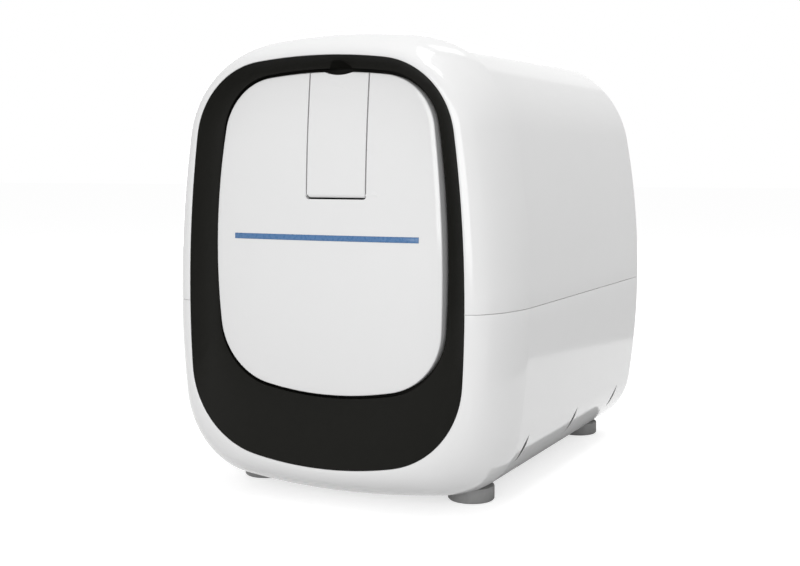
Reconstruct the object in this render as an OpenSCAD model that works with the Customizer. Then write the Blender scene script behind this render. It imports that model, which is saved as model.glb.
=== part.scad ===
// Automated cell counter: a rounded white housing in two shells, a dished black bezel,
// a convex front panel with a drop-down loading door, and inside it a motorised slide
// stage over an inverted fluorescence microscope. Millimetres; +X right, +Z up, the
// front faces -Y, and the origin is on the table below the middle of the housing.

/* [Housing] */
// Height of the housing's top above the table
body_top = 249; // [246:1:258]
// Width over the widest level
body_w = 199; // [194:0.2:210]
// Depth from the rim's front edge to the rear
body_d = 258.8; // [256:0.2:275]
// Clearance under the middle of the belly
belly_gap = 1; // [0.8:0.1:1.6]
// Height of the parting seam, where the housing is widest
seam_h = 105.5; // [100:0.5:110]
// Radius of the slightly bowed side walls
side_r = 477; // [440:1:600]
// Radius of the crowned top
crown_r = 323; // [300:1:420]
// Radius of the shallow belly
belly_r = 462; // [440:1:900]
// Radius of the two upper corners
shoulder_r = 62.6; // [56:0.2:66]
// Radius of the two lower corners
hip_r = 39.4; // [36:0.2:44]
// Depth of the rounded front rim
rim_depth = 41; // [36:1:46]
// Turn of the rim where it meets the sides in a soft crease, in degrees
rim_turn = 80; // [74:1:88]
// Radius of the rear edge
rear_round = 6; // [4:0.5:7]
// Wall of both shells
wall = 3; // [2.5:0.1:3.5]
// Depth of the lip that the rear panel rests on
lip_depth = 6; // [5:0.5:8]
// How far the rear lip reaches in from the housing's outline
lip_inset = 9; // [8:0.5:10]
// How far each shell's screw columns stop short of the seam
seam_relief = 0.2; // [0.1:0.05:0.4]

/* [Bezel] */
// Width of the bezel's outer edge
bezel_w = 160.8; // [158:0.2:166]
// Height of the bezel's top edge
bezel_top = 233.8; // [233:0.2:237]
// Height of the bezel's bottom edge
bezel_bottom = 20.6; // [18:0.2:24]
// Depth of the dish at the panel's edge
dish_depth = 9; // [7:0.5:10]
// Steepness of the dish near its outer edge
dish_curve = 1.7; // [1.4:0.1:2.2]
// Depth of the black floor behind the panel
floor_depth = 14; // [13:0.5:15]
// Wall of the bezel
bezel_wall = 2.5; // [2:0.1:2.8]
// Clearance between the bezel and the rim
bezel_fit = 0.1; // [0.05:0.05:0.3]
// Width of the land on the rim that the bezel's flange rests against
land_w = 3; // [2.5:0.1:3.5]
// Radius of the finger scoop above the door
scoop_r = 10; // [9:0.5:11]
// How far the scoop reaches above the panel's top edge
scoop_rise = 5.6; // [5:0.2:6]
// Depth of the scoop's centre behind the rim's front edge
scoop_in = 5; // [4.5:0.5:6]
// How far the black floor reaches outwards under the dish
floor_lap = 2; // [1.5:0.25:2.5]

/* [Front panel] */
// Width of the panel
panel_w = 132.4; // [131:0.2:136]
// Height of the panel's top edge
panel_top = 225.8; // [225:0.1:227]
// Height of the panel's bottom edge
panel_bottom = 58.4; // [54:0.2:62]
// Level at which the panel is widest
panel_widest = 125.8; // [120:0.2:130]
// Radius of the panel's domed face
dome_r = 665; // [620:5:760]
// Wall of the panel and the door
panel_wall = 2.6; // [2.2:0.1:2.8]
// Shadow gap between the panel and the bezel
panel_gap = 1.8; // [1.5:0.1:2]
// How far the middle of the dome lies behind the rim's front edge
dome_set = 2.2; // [1.6:0.1:2.4]
// Length of the light bar
bar_len = 108; // [100:1:114]
// Height of the light bar
bar_h = 3; // [2.6:0.1:3.4]
// Height of the light bar's middle
bar_z = 141; // [138:0.1:144]

/* [Loading door] */
// Width of the door opening
door_w = 34.8; // [34:0.1:36.5]
// Distance of the door's middle from the housing's middle
door_x = 7.9; // [5:0.1:9]
// Height of the opening's lower edge
door_sill = 160.9; // [160:0.1:163]
// Gap around the door
door_gap = 0.8; // [0.75:0.05:0.9]
// Radius of the opening's two lower corners
door_corner = 1.7; // [1.5:0.1:1.8]
// Radius of the hinge's barrel
barrel_r = 1.5; // [1.4:0.05:1.6]
// How far the barrel lies behind the door's face
barrel_set = 0.05; // [0.03:0.01:0.1]
// Radius of the hinge pin
pin_r = 0.7; // [0.6:0.05:0.8]
// Running clearance around pins and shafts
run_fit = 0.05; // [0.03:0.01:0.08]

/* [Feet and vents] */
// Radius of the rubber feet
foot_r = 12.5; // [12:0.2:14]
// Height of the rubber feet
foot_h = 8; // [7.5:0.5:9]
// Distance of the feet from the housing's sides
foot_side = 35.5; // [33:0.5:38]
// Clearance around the feet in their seats
foot_fit = 0.1; // [0.05:0.05:0.2]
// Distance of the front feet from the housing's front
foot_front = 51; // [48:1:54]
// Distance of the rear feet from the housing's rear
foot_rear = 19; // [18:0.5:22]
// Number of vent slits on each side
slit_count = 3; // [2:1:3]
// Distance of the first slit from the front
slit_first = 53.5; // [51:0.1:56]
// Spacing of the slits
slit_pitch = 84.5; // [80:0.1:86]
// Width of a slit
slit_w = 2.2; // [1.6:0.1:2.6]
// Half length of a slit
slit_half = 7.9; // [7:0.1:9]
// How far a slit leans back, in degrees
slit_lean = 27; // [18:1:30]
// Height of a slit's middle
slit_z = 29.8; // [28:0.1:32]

/* [Slide stage] */
// Underside of the stage deck
deck_z = 156; // [154:0.5:157]
// Thickness of the stage deck
deck_t = 4; // [3:0.5:4]
// Height of the guide rods above the deck's top
rod_lift = 6; // [5.5:0.1:6.5]
// Radius of the guide rods
rod_r = 2.5; // [2:0.1:2.8]
// Distance between the guide rods
rod_span = 44; // [43:0.5:46]
// Free depth between the stage and the rear panel
stage_room = 26; // [24:0.5:30]
// Length of a counting slide
slide_l = 75.5; // [74:0.5:76]
// Width of a counting slide
slide_w = 25.6; // [25:0.1:26.4]
// Lead of the tray's screw
tray_lead = 8; // [4:1:10]
// Radius of the tray's screw
tray_screw_r = 3; // [2.5:0.1:3.2]

/* [Optics] */
// Distance of the optical axis behind the housing's front
axis_depth = 103; // [101:0.5:105]
// Radius of the objective's barrel
objective_r = 11; // [10:0.5:11.5]
// Focus travel each way
focus_travel = 2; // [1:0.5:2]
// Width of the filter cube
cube_w = 32; // [28:1:33]
// Radius of the tube lens barrel
tube_r = 13; // [11:0.5:14]
// Width of the camera
camera_w = 34; // [30:1:36]
// Size of the tray and fan-side stepper motor
motor_w = 28; // [24:1:28]
// Size of the focus stepper motor
focus_motor_w = 20; // [18:1:21]

/* [Rear] */
// Thickness of the rear panel
rear_t = 2.5; // [2:0.1:3]
// Size of the cooling fan
fan_w = 60; // [56:1:62]
// Depth of the cooling fan
fan_t = 15; // [12:1:15]
// Height of the fan's axle
fan_z = 150; // [140:1:155]
// Distance of the fan from the middle
fan_x = -35; // [-40:1:-32]
// Pitch of the fan grille's slots
grille_pitch = 6; // [5:0.5:8]

/* [Hidden] */
$fn = 48;

front_y = -body_d / 2;
rear_y = body_d / 2;
panel_y = rear_y - lip_depth - rear_t;

// An outline of eight tangent arcs, alike on both sides:
// [half width, top, bottom, widest level, side, top, bottom and two corner radii]
body_shape = [body_w / 2, body_top, belly_gap, seam_h, side_r, crown_r, belly_r,
    shoulder_r, hip_r];
bezel_shape = [bezel_w / 2, bezel_top, bezel_bottom, seam_h, 646, 295, 207, 43.6, 48.5];
panel_shape = [panel_w / 2, panel_top, panel_bottom, panel_widest, 493, 283, 188, 31, 35.3];

side_steps = 4;
corner_steps = 10;
end_steps = 6;
rim_steps = 8;
round_steps = 3;
dish_steps = 6;
slit_steps = 6;

// The front panel's face is part of a large sphere
dome_z = (panel_top + panel_bottom) / 2;
floor_y = front_y + floor_depth;
function dome_y(x, z) = front_y + dome_set
    + dome_r - sqrt(pow(dome_r, 2) - pow(x, 2) - pow(z - dome_z, 2));

// Door hinge: the barrel lies just behind the door's face and just over the sill's gap
hinge_z = door_sill + door_gap + barrel_r;
hinge_y = dome_y(door_x + door_w / 2, hinge_z) + barrel_r + barrel_set;
door_half = door_w / 2 - door_gap;
boss_len = 6;
bay_w = door_w - 1.5;
bay_top = panel_top - 5;
magnet_r = 3;
magnet_t = 3;
keeper_t = 1;
keeper_z = panel_top - 12;

// Feet, chassis and the columns that the housing's screws run in
foot_x = body_w / 2 - foot_side;
front_foot_y = front_y + foot_front;
rear_foot_y = rear_y - foot_rear;
pad_top = foot_h + 6;
chassis_t = 1.5;
chassis_top = pad_top + chassis_t;
column_x = body_w / 2 - 19.5;
column_r = 6;
column_ys = [front_y + 68, rear_y - 68];
column_seat = seam_h - 14;
screw_r = 2;

// Stage
deck_top = deck_z + deck_t;
rod_z = deck_top + rod_lift;
rod_x = [door_x - rod_span / 2, door_x + rod_span / 2];
tray_z = rod_z + 2.5;
tray_t = 3;
tray_top = tray_z + tray_t;
block_t = 5;
stage_front = floor_y + bezel_wall + 0.8;
tray_front = stage_front + block_t + 1;
tray_l = slide_l + 8.5;
motor_l = 32;
deck_rear = panel_y - stage_room;
motor_y = deck_rear - 2 - motor_l;
rear_block_y = motor_y - block_t;
tray_travel = rear_block_y - 3 - tray_l - tray_front;
tray_screw_x = rod_x[0] - 15;
deck_x = [tray_screw_x - 18.5, rod_x[1] + 22.5];
hood_wall = 1.5;
hood_bottom = tray_top + 3.5;
hood_len = 52;
clip_x = door_x - slide_w / 2 - 4;
clip_y = tray_front + tray_l / 2;
clip_t = 1.6;

// Optics, stacked on one vertical axis under the slide
axis_y = front_y + axis_depth;
plate_y = axis_y + 20;
plate_t = 5;
camera_top = 52;
cube_bottom = 84;
cube_top = cube_bottom + cube_w;
ring_z = 126;
ring_t = 10;
objective_top = tray_z - 1.3 - focus_travel;
focus_x = door_x + 28;
focus_y = axis_y + 9;
focus_screw_r = 2;
focus_motor_top = 112;
led_z = cube_bottom + cube_w / 2;
heatsink_w = 40;
lamp_z = hood_bottom + 20;
lamp_post_x = rod_x[1] + 9;

// Rear panel, board and sockets
board_z = chassis_top + 8.5;
board_t = 1.6;
board_top = board_z + board_t;
board_x = [-34, 38];
board_y = [30, panel_y - 7.5];
socket_d = 16;
network_x = -6;
usb_xs = [14, 31];
inlet_x = -26;
switch_x = -58;
switch_z = board_top + 12;
post_xs = [deck_x[0] + 6, deck_x[1] - 6];
post_ys = [stage_front + 8, deck_rear - 7];

// Outline geometry

function on_arc(c, r, a) = [c[0] + r * cos(a), c[1] + r * sin(a)];
function arc_points(c, r, a0, a1, n) =
    [for (i = [0:n - 1]) on_arc(c, r, a0 + (a1 - a0) * i / n)];
function bearing(v) = atan2(v[1], v[0]);

// Centre of the corner arc that touches the side arc and the end arc from inside
function corner_centre(side_c, side_arc, end_c, end_arc, r, up) =
    let (a = side_arc - r, b = end_arc - r, d = norm(end_c - side_c),
        l = (a * a - b * b + d * d) / (2 * d), h = sqrt(a * a - l * l),
        u = (end_c - side_c) / d)
    side_c + u * l + up * [-u[1], u[0]] * h;

// Points from the widest level to the middle of the top (up = 1) or bottom (up = -1)
function quarter(s, up) =
    let (end = up > 0 ? s[1] : s[2], end_arc = up > 0 ? s[5] : s[6],
        r = up > 0 ? s[7] : s[8],
        side_c = [s[0] - s[4], s[3]], end_c = [0, end - up * end_arc],
        c = corner_centre(side_c, s[4], end_c, end_arc, r, up),
        a1 = bearing(c - side_c), a2 = bearing(c - end_c))
    concat(arc_points(side_c, s[4], 0, a1, side_steps),
        arc_points(c, r, a1, a2, corner_steps),
        arc_points(end_c, end_arc, a2, up * 90, end_steps), [[0, end]]);
function reversed(list) = [for (i = [len(list) - 1:-1:0]) list[i]];
function mirrored(list) = [for (p = list) [-p[0], p[1]]];
function inner_part(list) = [for (i = [1:len(list) - 2]) list[i]];

// Half outlines run anticlockwise as seen from the front, seam to seam
function half_outline(s, up) =
    let (q = quarter(s, up), first = up > 0 ? q : mirrored(q),
        last = reversed(up > 0 ? mirrored(q) : q))
    concat(first, [for (i = [1:len(last) - 1]) last[i]]);
function full_outline(s) =
    concat(half_outline(s, 1), inner_part(half_outline(s, -1)));
function inset(s, d) = [s[0] - d, s[1] - d, s[2] + d, s[3], s[4] - d, s[5] - d,
    s[6] - d, s[7] - d, s[8] - d];
function blend(a, b, t) = a + (b - a) * t;
function at_y(points, y) = [for (p = points) [p[0], y, p[1]]];

// Solid skinned through rings of points; closed rings make a tube without end caps
module skin(rings, closed = false) {
    m = len(rings);
    n = len(rings[0]);
    last = closed ? n - 1 : n - 2;
    sides = [for (i = [0:last], j = [0:m - 1])
        let (k = (i + 1) % n, l = (j + 1) % m)
        each [[i * m + j, k * m + j, k * m + l], [i * m + j, k * m + l, i * m + l]]];
    caps = closed ? [] : [[for (j = [0:m - 1]) j],
        [for (j = [m - 1:-1:0]) (n - 1) * m + j]];
    polyhedron(points = [for (i = [0:n - 1], j = [0:m - 1]) rings[j][i]],
        faces = concat(sides, caps), convexity = 8);
}

// A flat outline in X and Z, extruded from y0 to y1
module upright(y0, y1) {
    translate([0, y1, 0])
        rotate([90, 0, 0])
            linear_extrude(y1 - y0) children();
}
module rod_along_y(r, x, z, y0, y1) {
    translate([x, y1, z]) rotate([90, 0, 0]) cylinder(r = r, h = y1 - y0);
}
module rod_along_x(r, y, z, x0, x1) {
    translate([x0, y, z]) rotate([0, 90, 0]) cylinder(r = r, h = x1 - x0);
}
module block(x, y, z) {
    translate([x[0], y[0], z[0]]) cube([x[1] - x[0], y[1] - y[0], z[1] - z[0]]);
}
module rounded_plate(x, y, z, r) {
    translate([0, 0, z[0]]) linear_extrude(z[1] - z[0]) {
        translate([x[0] + r, y[0]]) square([x[1] - x[0] - 2 * r, y[1] - y[0]]);
        translate([x[0], y[0] + r]) square([x[1] - x[0], y[1] - y[0] - 2 * r]);
        for (px = [x[0] + r, x[1] - r], py = [y[0] + r, y[1] - r])
            translate([px, py]) circle(r = r);
    }
}
module pan_screw(head_r, head_h, r, l) {
    translate([0, 0, -head_h]) difference() {
        cylinder(r = head_r, h = head_h);
        translate([0, 0, -0.1]) cylinder(r = head_r * 0.45, h = head_h * 0.55 + 0.1, $fn = 6);
    }
    cylinder(r = r, h = l);
}

// Housing

// The rim's profile: how far it has gone outwards and back at angle a, from 0 to 1
function rim_rise(a) = sin(a) / sin(rim_turn);
function rim_run(a) = (1 - cos(a)) / (1 - cos(rim_turn));

// Rings of one shell's wall: rim, sides, rear edge, lip, and back along the inside
function shell_rings(up) =
    let (bezel = half_outline(bezel_shape, up), body = half_outline(body_shape, up),
        land = half_outline(inset(bezel_shape, -land_w), up),
        inside = half_outline(inset(body_shape, wall), up),
        lip = half_outline(inset(body_shape, lip_inset), up),
        inner_depth = rim_depth - wall)
    concat(
        [for (i = [0:rim_steps]) let (a = rim_turn * i / rim_steps)
            at_y(blend(bezel, body, rim_rise(a)), front_y + rim_depth * rim_run(a))],
        [for (i = [0:round_steps]) let (a = 90 * i / round_steps)
            at_y(half_outline(inset(body_shape, rear_round * (1 - cos(a))), up),
                rear_y - rear_round * (1 - sin(a)))],
        [at_y(lip, rear_y), at_y(lip, rear_y - lip_depth),
            at_y(inside, rear_y - lip_depth)],
        [for (i = [rim_steps:-1:0]) let (a = rim_turn * i / rim_steps)
            at_y(blend(land, inside, rim_rise(a)), front_y + wall + inner_depth * rim_run(a))],
        [at_y(bezel, front_y + wall)]);

// What stands inside the shells ends in the middle of their wall
module inside_wall() {
    intersection() {
        children();
        upright(front_y + rim_depth / 2, panel_y - 0.3)
            polygon(full_outline(inset(body_shape, wall / 2)));
    }
}
module columns(z0, z1) {
    inside_wall() for (side = [-1, 1], y = column_ys) {
        translate([side * column_x, y, z0]) cylinder(r = column_r, h = z1 - z0);
        block(side > 0 ? [column_x, body_w / 2] : [-body_w / 2, -column_x],
            [y - 1, y + 1], [z0, z1]);
    }
}

module upper_shell() {
    boss_h = 22;
    color("white") difference() {
        union() {
            skin(shell_rings(1));
            columns(seam_h + seam_relief, seam_h + boss_h);
        }
        for (side = [-1, 1], y = column_ys)
            translate([side * column_x, y, seam_h - 1]) cylinder(r = screw_r, h = boss_h - 3);
    }
}

module lower_shell() {
    color("white") difference() {
        union() {
            skin(shell_rings(-1));
            columns(foot_h, seam_h - seam_relief);
            inside_wall() for (x = [-foot_x, foot_x], y = [front_foot_y, rear_foot_y])
                translate([x, y, 0]) cylinder(r = foot_r + 1.8, h = pad_top);
        }
        for (side = [-1, 1]) {
            for (y = column_ys) {
                translate([side * column_x, y, 0]) cylinder(r = 4, h = column_seat);
                translate([side * column_x, y, 0]) cylinder(r = screw_r + 0.2, h = seam_h + 1);
            }
            for (y = [front_foot_y, rear_foot_y]) {
                translate([side * foot_x, y, -1]) cylinder(r = foot_r + foot_fit, h = foot_h + 1);
                translate([side * foot_x, y, 0]) cylinder(r = screw_r, h = pad_top + 1);
            }
            for (i = [0:slit_count - 1])
                vent_slit(side, front_y + slit_first + i * slit_pitch);
        }
    }
}

// A lens-shaped slit through a side wall
module vent_slit(side, y) {
    r = (pow(slit_half, 2) + pow(slit_w / 2, 2)) / slit_w;
    reach = asin(slit_half / r);
    edge = [for (i = [0:slit_steps - 1]) let (a = reach * (1 - 2 * i / slit_steps))
        [r * cos(a) - r + slit_w / 2, r * sin(a)]];
    translate([side > 0 ? body_w / 2 - 17 : -body_w / 2 - 1, y, slit_z])
        rotate([-slit_lean, 0, 0]) rotate([90, 0, 90]) linear_extrude(18)
            polygon(concat(edge, [for (p = edge) -p]));
}

module rear_panel() {
    color("whitesmoke") difference() {
        upright(panel_y, panel_y + rear_t)
            polygon(full_outline(inset(body_shape, wall + 0.2)));
        upright(panel_y - 1, panel_y + rear_t + 1) grille_outline();
        for (x = usb_xs) socket_window(x, 13.6, 7.2);
        socket_window(network_x, 16.2, 13.6);
        rod_along_y(5.1, inlet_x, board_top + 6.5, panel_y - 1, panel_y + rear_t + 1);
        block([switch_x - 6.6, switch_x + 6.6], [panel_y - 1, panel_y + rear_t + 1],
            [switch_z - 9.6, switch_z + 9.6]);
        for (x = [-30, 30])
            rod_along_y(1.6, x, chassis_top + 4, panel_y - 1, panel_y + rear_t + 1);
        for (x = [-1, 1], z = [-1, 1])
            rod_along_y(1.9, fan_x + x * (fan_w / 2 - 5), fan_z + z * (fan_w / 2 - 5),
                panel_y - 1, panel_y + rear_t + 1);
    }
}
module socket_window(x, w, h) {
    block([x - w / 2, x + w / 2], [panel_y - 1, panel_y + rear_t + 1],
        [board_top - 0.2, board_top + h]);
}
// Round-ended slots that fill the fan's circle
module grille_outline() {
    grille_r = fan_w / 2 - 4;
    slot = grille_pitch / 2;
    rows = floor((grille_r - slot) / grille_pitch);
    for (i = [-rows:rows]) {
        half = sqrt(pow(grille_r, 2) - pow(abs(i) * grille_pitch + slot / 2, 2)) - slot / 2;
        translate([fan_x, fan_z + i * grille_pitch]) {
            square([2 * half, slot], center = true);
            for (side = [-1, 1]) translate([side * half, 0]) circle(d = slot, $fn = 24);
        }
    }
}

// Bezel

function dish_at(t) = front_y + dish_depth * (1 - pow(1 - t, dish_curve));

// The ball that hollows the finger scoop behind the door's top edge
module scoop(grow) {
    translate([door_x, front_y + scoop_in, panel_top + scoop_rise - scoop_r])
        sphere(r = scoop_r + grow, $fn = 96);
}

module front_bezel() {
    outer = full_outline(inset(bezel_shape, bezel_fit));
    gutter = full_outline(inset(panel_shape, -panel_gap));
    flange_back = front_y + wall + bezel_wall;
    back = floor_y + bezel_wall;
    color([0.12, 0.12, 0.11]) difference() {
        union() {
            skin(concat(
                [at_y(outer, flange_back)],
                [for (t = [0.3, 0.6]) at_y(blend(outer, gutter, t), dish_at(t) + bezel_wall)],
                [at_y(blend(outer, gutter, 0.8), back - 0.2), at_y(gutter, back - 0.2)],
                [for (i = [dish_steps:-1:0]) at_y(blend(outer, gutter, i / dish_steps),
                    dish_at(i / dish_steps))]), closed = true);
            upright(floor_y, back)
                polygon(full_outline(inset(panel_shape, -panel_gap - floor_lap)));
            intersection() {
                scoop(bezel_wall);
                block([door_x - 2 * scoop_r, door_x + 2 * scoop_r],
                    [front_y + dish_depth - 0.4, back - 0.3], [panel_top, bezel_top - 1]);
            }
            upright(front_y + wall, flange_back) difference() {
                polygon(full_outline(inset(bezel_shape, -land_w + 0.2)));
                polygon(full_outline(inset(bezel_shape, 1)));
            }
            for (x = [-48, 48]) rod_along_y(3, x, bar_z, bar_board_y + 1.6, floor_y + 0.5);
        }
        block([door_x - bay_w / 2, door_x + bay_w / 2], [floor_y - 1, back + 1],
            [hinge_z + barrel_r + 1, bay_top]);
        scoop(0);
        for (p = panel_posts) rod_along_y(1.7, p[0], p[1], floor_y - 1, back + 1);
        for (x = [-48, 48]) rod_along_y(1, x, bar_z, floor_y - 3, back + 1);
    }
}

// Front panel and door

bar_board_y = front_y + dome_set + panel_wall + 5.6;
panel_posts = [[-45, panel_bottom + 24], [45, panel_bottom + 24],
    [-40, panel_top - 30], [45, panel_top - 34]];

module dome(depth) {
    translate([0, front_y + dome_set + dome_r, dome_z]) sphere(r = dome_r - depth, $fn = 240);
}
// The panel's outline, taken back from y1 to the dome, depth below its face
module domed_block(d, depth, y1) {
    intersection() {
        upright(front_y - 1, y1) polygon(full_outline(inset(panel_shape, d)));
        dome(depth);
    }
}
// The door's outline, grown or shrunk; it runs out over the panel's top edge
module door_outline(grow) {
    half = door_w / 2 + grow;
    r = door_corner + grow;
    translate([door_x - half, door_sill - grow + r]) square([2 * half, 90]);
    translate([door_x - half + r, door_sill - grow]) square([2 * (half - r), 90]);
    for (side = [-1, 1])
        translate([door_x + side * (half - r), door_sill - grow + r]) circle(r = r);
}

module front_panel() {
    color("white") difference() {
        domed_block(0, 0, floor_y);
        difference() {
            domed_block(panel_wall, panel_wall, floor_y + 1);
            for (side = [-1, 1]) {
                near = door_x + side * (door_w / 2 - 0.2);
                far = near + side * boss_len;
                rod_along_x(barrel_r, hinge_y, hinge_z, min(near, far), max(near, far));
                block([min(near, far), max(near, far)], [front_y, hinge_y],
                    [hinge_z - barrel_r, hinge_z + barrel_r]);
            }
            for (p = panel_posts) rod_along_y(3.4, p[0], p[1], front_y, floor_y);
        }
        upright(front_y - 2, floor_y + 2) door_outline(0);
        block([-bar_len / 2, bar_len / 2], [front_y - 2, floor_y - 3],
            [bar_z - bar_h / 2, bar_z + bar_h / 2]);
        rod_along_x(pin_r, hinge_y, hinge_z, door_x - door_w / 2 - boss_len + 1,
            door_x + door_w / 2 + boss_len + 2);
        for (p = panel_posts) rod_along_y(1.4, p[0], p[1], floor_y - 7, floor_y + 1);
    }
}

// Barrel along X with rounded ends, so that it turns inside the rounded corners
module hinge_barrel() {
    end_r = door_corner - door_gap;
    profile = concat([[0, -door_half]],
        [for (a = [-90:15:0]) [barrel_r - end_r + end_r * cos(a), end_r - door_half + end_r * sin(a)]],
        [for (a = [0:15:90]) [barrel_r - end_r + end_r * cos(a), door_half - end_r + end_r * sin(a)]],
        [[0, door_half]]);
    translate([door_x, hinge_y, hinge_z]) rotate([0, 90, 0])
        rotate_extrude() polygon(profile);
}

module loading_door() {
    top_depth = 7;
    notch_r = 23;
    notch_z = panel_top - 1.8 + notch_r;
    color("white") difference() {
        union() {
            intersection() {
                difference() {
                    domed_block(0, 0, front_y + top_depth + 6);
                    difference() {
                        domed_block(panel_wall, panel_wall, floor_y + 1);
                        rod_along_y(4.6, door_x, keeper_z, front_y,
                            dome_y(door_x, keeper_z) + panel_wall + 0.8);
                    }
                    block([-99, 99], [front_y + top_depth + 4, floor_y + 1], [0, panel_top]);
                    block([-99, 99], [front_y - 1, floor_y + 1], [0, hinge_z]);
                }
                upright(front_y - 2, floor_y) door_outline(-door_gap);
            }
            hinge_barrel();
        }
        rod_along_x(pin_r + run_fit, hinge_y, hinge_z, door_x - door_w, door_x + door_w);
        rod_along_y(notch_r, door_x, notch_z, front_y - 1, floor_y, $fn = 128);
        rod_along_y(magnet_r, door_x, keeper_z,
            dome_y(door_x, keeper_z) + panel_wall + 0.8 - keeper_t, floor_y);
    }
}

module door_hinge_pin() {
    color("silver") rod_along_x(pin_r, hinge_y, hinge_z,
        door_x - door_w / 2 - boss_len + 1, door_x + door_w / 2 + boss_len - 0.2);
}

module door_keeper() {
    back = dome_y(door_x, keeper_z) + panel_wall + 0.8;
    color("silver") rod_along_y(magnet_r, door_x, keeper_z, back - keeper_t, back);
}

// Stands on a bracket across the top of the bay and meets the keeper
module door_magnet() {
    near = dome_y(door_x, keeper_z) + panel_wall + 1;
    color("dimgray") {
        rod_along_y(magnet_r, door_x, keeper_z, near, near + magnet_t);
        block([door_x - 2, door_x + 2], [near + magnet_t, floor_y + bezel_wall + 1],
            [keeper_z - 1, keeper_z + 1]);
        block([door_x - 2, door_x + 2], [floor_y + bezel_wall, floor_y + bezel_wall + 1],
            [keeper_z - 1, bay_top + 3]);
    }
}

// The bar bows with the panel's dome and stands a little proud of it
module light_bar() {
    fit = 0.05;
    proud = 0.2;
    back = bar_board_y - 1;
    color([0.27, 0.45, 0.6]) union() {
        translate([0, 0, bar_z - bar_h / 2 + fit]) linear_extrude(bar_h - 2 * fit)
            intersection() {
                translate([0, front_y + dome_set + dome_r])
                    circle(r = dome_r + proud, $fn = 720);
                translate([fit - bar_len / 2, front_y - 1])
                    square([bar_len - 2 * fit, back - front_y + 1]);
            }
        block([-bar_len / 2 - 2, bar_len / 2 + 2], [back - 1.8, back],
            [bar_z - bar_h / 2 - 1.5, bar_z + bar_h / 2 + 1.5]);
    }
}

module light_bar_board() {
    leds = 9;
    color("darkgreen") difference() {
        union() {
            block([-bar_len / 2, bar_len / 2], [bar_board_y, bar_board_y + 1.6],
                [bar_z - 5, bar_z + 5]);
            for (i = [0:leds - 1]) {
                x = (i - (leds - 1) / 2) * bar_len / leds;
                block([x - 1.5, x + 1.5], [bar_board_y - 1, bar_board_y + 0.2],
                    [bar_z - 1, bar_z + 1]);
            }
        }
        for (x = [-48, 48]) rod_along_y(1, x, bar_z + 3, bar_board_y - 2, bar_board_y + 3);
    }
}

// Feet and fasteners

module foot(x, y) {
    color("gray") difference() {
        translate([x, y, 0]) union() {
            cylinder(r1 = foot_r - 0.8, r2 = foot_r, h = 1);
            translate([0, 0, 1]) cylinder(r = foot_r, h = foot_h - 1);
        }
        translate([x, y, -1]) cylinder(r = 4.5, h = 5);
        translate([x, y, -1]) cylinder(r = screw_r, h = foot_h + 2);
    }
}
module front_left_foot() foot(-foot_x, front_foot_y);
module front_right_foot() foot(foot_x, front_foot_y);
module rear_left_foot() foot(-foot_x, rear_foot_y);
module rear_right_foot() foot(foot_x, rear_foot_y);

module foot_screws() {
    color("silver") for (x = [-foot_x, foot_x], y = [front_foot_y, rear_foot_y])
        translate([x, y, 4]) pan_screw(4, 2.2, screw_r, chassis_top - 2.5);
}

module shell_screws() {
    color("silver") for (x = [-column_x, column_x], y = column_ys)
        translate([x, y, column_seat]) pan_screw(3.6, 2.4, screw_r, 28);
}

module panel_screws() {
    color("silver") for (p = panel_posts)
        translate([p[0], floor_y + bezel_wall, p[1]])
            rotate([90, 0, 0]) pan_screw(2.6, 1.8, 1.4, bezel_wall + 6);
}

module rear_panel_screws() {
    color("silver") for (x = [-30, 30])
        translate([x, panel_y + rear_t, chassis_top + 4])
            rotate([90, 0, 0]) pan_screw(2.8, 1.8, 1.6, rear_t + chassis_t + 2);
}

// Chassis and stage

module chassis() {
    plate_half = body_w / 2 - 27.5;
    plate_x = [-plate_half, plate_half];
    plate_y = [front_y + 26, panel_y];
    color("silver") difference() {
        union() {
            rounded_plate(plate_x, plate_y, [pad_top, chassis_top], 12);
            block([-60, 60], [panel_y - chassis_t, panel_y], [pad_top, chassis_top + 8]);
        }
        for (x = [-foot_x, foot_x], y = [front_foot_y, rear_foot_y])
            translate([x, y, 0]) cylinder(r = screw_r, h = pad_top + 9);
        for (x = [-30, 30]) rod_along_y(1.6, x, chassis_top + 4, panel_y - 4, panel_y + 1);
        for (x = [-52:13:-26], y = [-70:16:-6])
            rounded_plate([x - 2, x + 2], [y - 6, y + 6], [pad_top - 1, chassis_top + 1], 1.9);
    }
}

module deck_posts() {
    color("silver") for (x = post_xs, y = post_ys)
        translate([x, y, chassis_top]) cylinder(r = 5, h = deck_z - chassis_top);
}

module stage_deck() {
    color("lightgray") difference() {
        rounded_plate(deck_x, [stage_front, deck_rear], [deck_z, deck_top], 4);
        translate([door_x, axis_y, deck_z - 1]) cylinder(r = objective_r + 5, h = deck_t + 2);
        for (x = post_xs, y = post_ys) {
            translate([x, y, deck_z - 1]) cylinder(r = 1.6, h = deck_t + 2);
            translate([x, y, deck_top - 1.8]) cylinder(r = 3.2, h = 2);
        }
    }
}

module rod_block(y0, y1) {
    color("dimgray") difference() {
        union() {
            block([tray_screw_x - 7, rod_x[1] + 6], [y0, y1], [deck_top, deck_top + 3]);
            for (x = rod_x) {
                rod_along_y(4.8, x, rod_z, y0, y1);
                block([x - 4.8, x + 4.8], [y0, y1], [deck_top, rod_z]);
            }
            rod_along_y(5.4, tray_screw_x, rod_z, y0, y1);
            block([tray_screw_x - 5.4, tray_screw_x + 5.4], [y0, y1], [deck_top, rod_z]);
        }
        for (x = rod_x) rod_along_y(rod_r, x, rod_z, y0 - 1, y1 + 1);
        rod_along_y(tray_screw_r + run_fit, tray_screw_x, rod_z, y0 - 1, y1 + 1);
    }
}
module front_rod_block() rod_block(stage_front, stage_front + block_t);
module rear_rod_block() rod_block(rear_block_y, rear_block_y + block_t);

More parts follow.
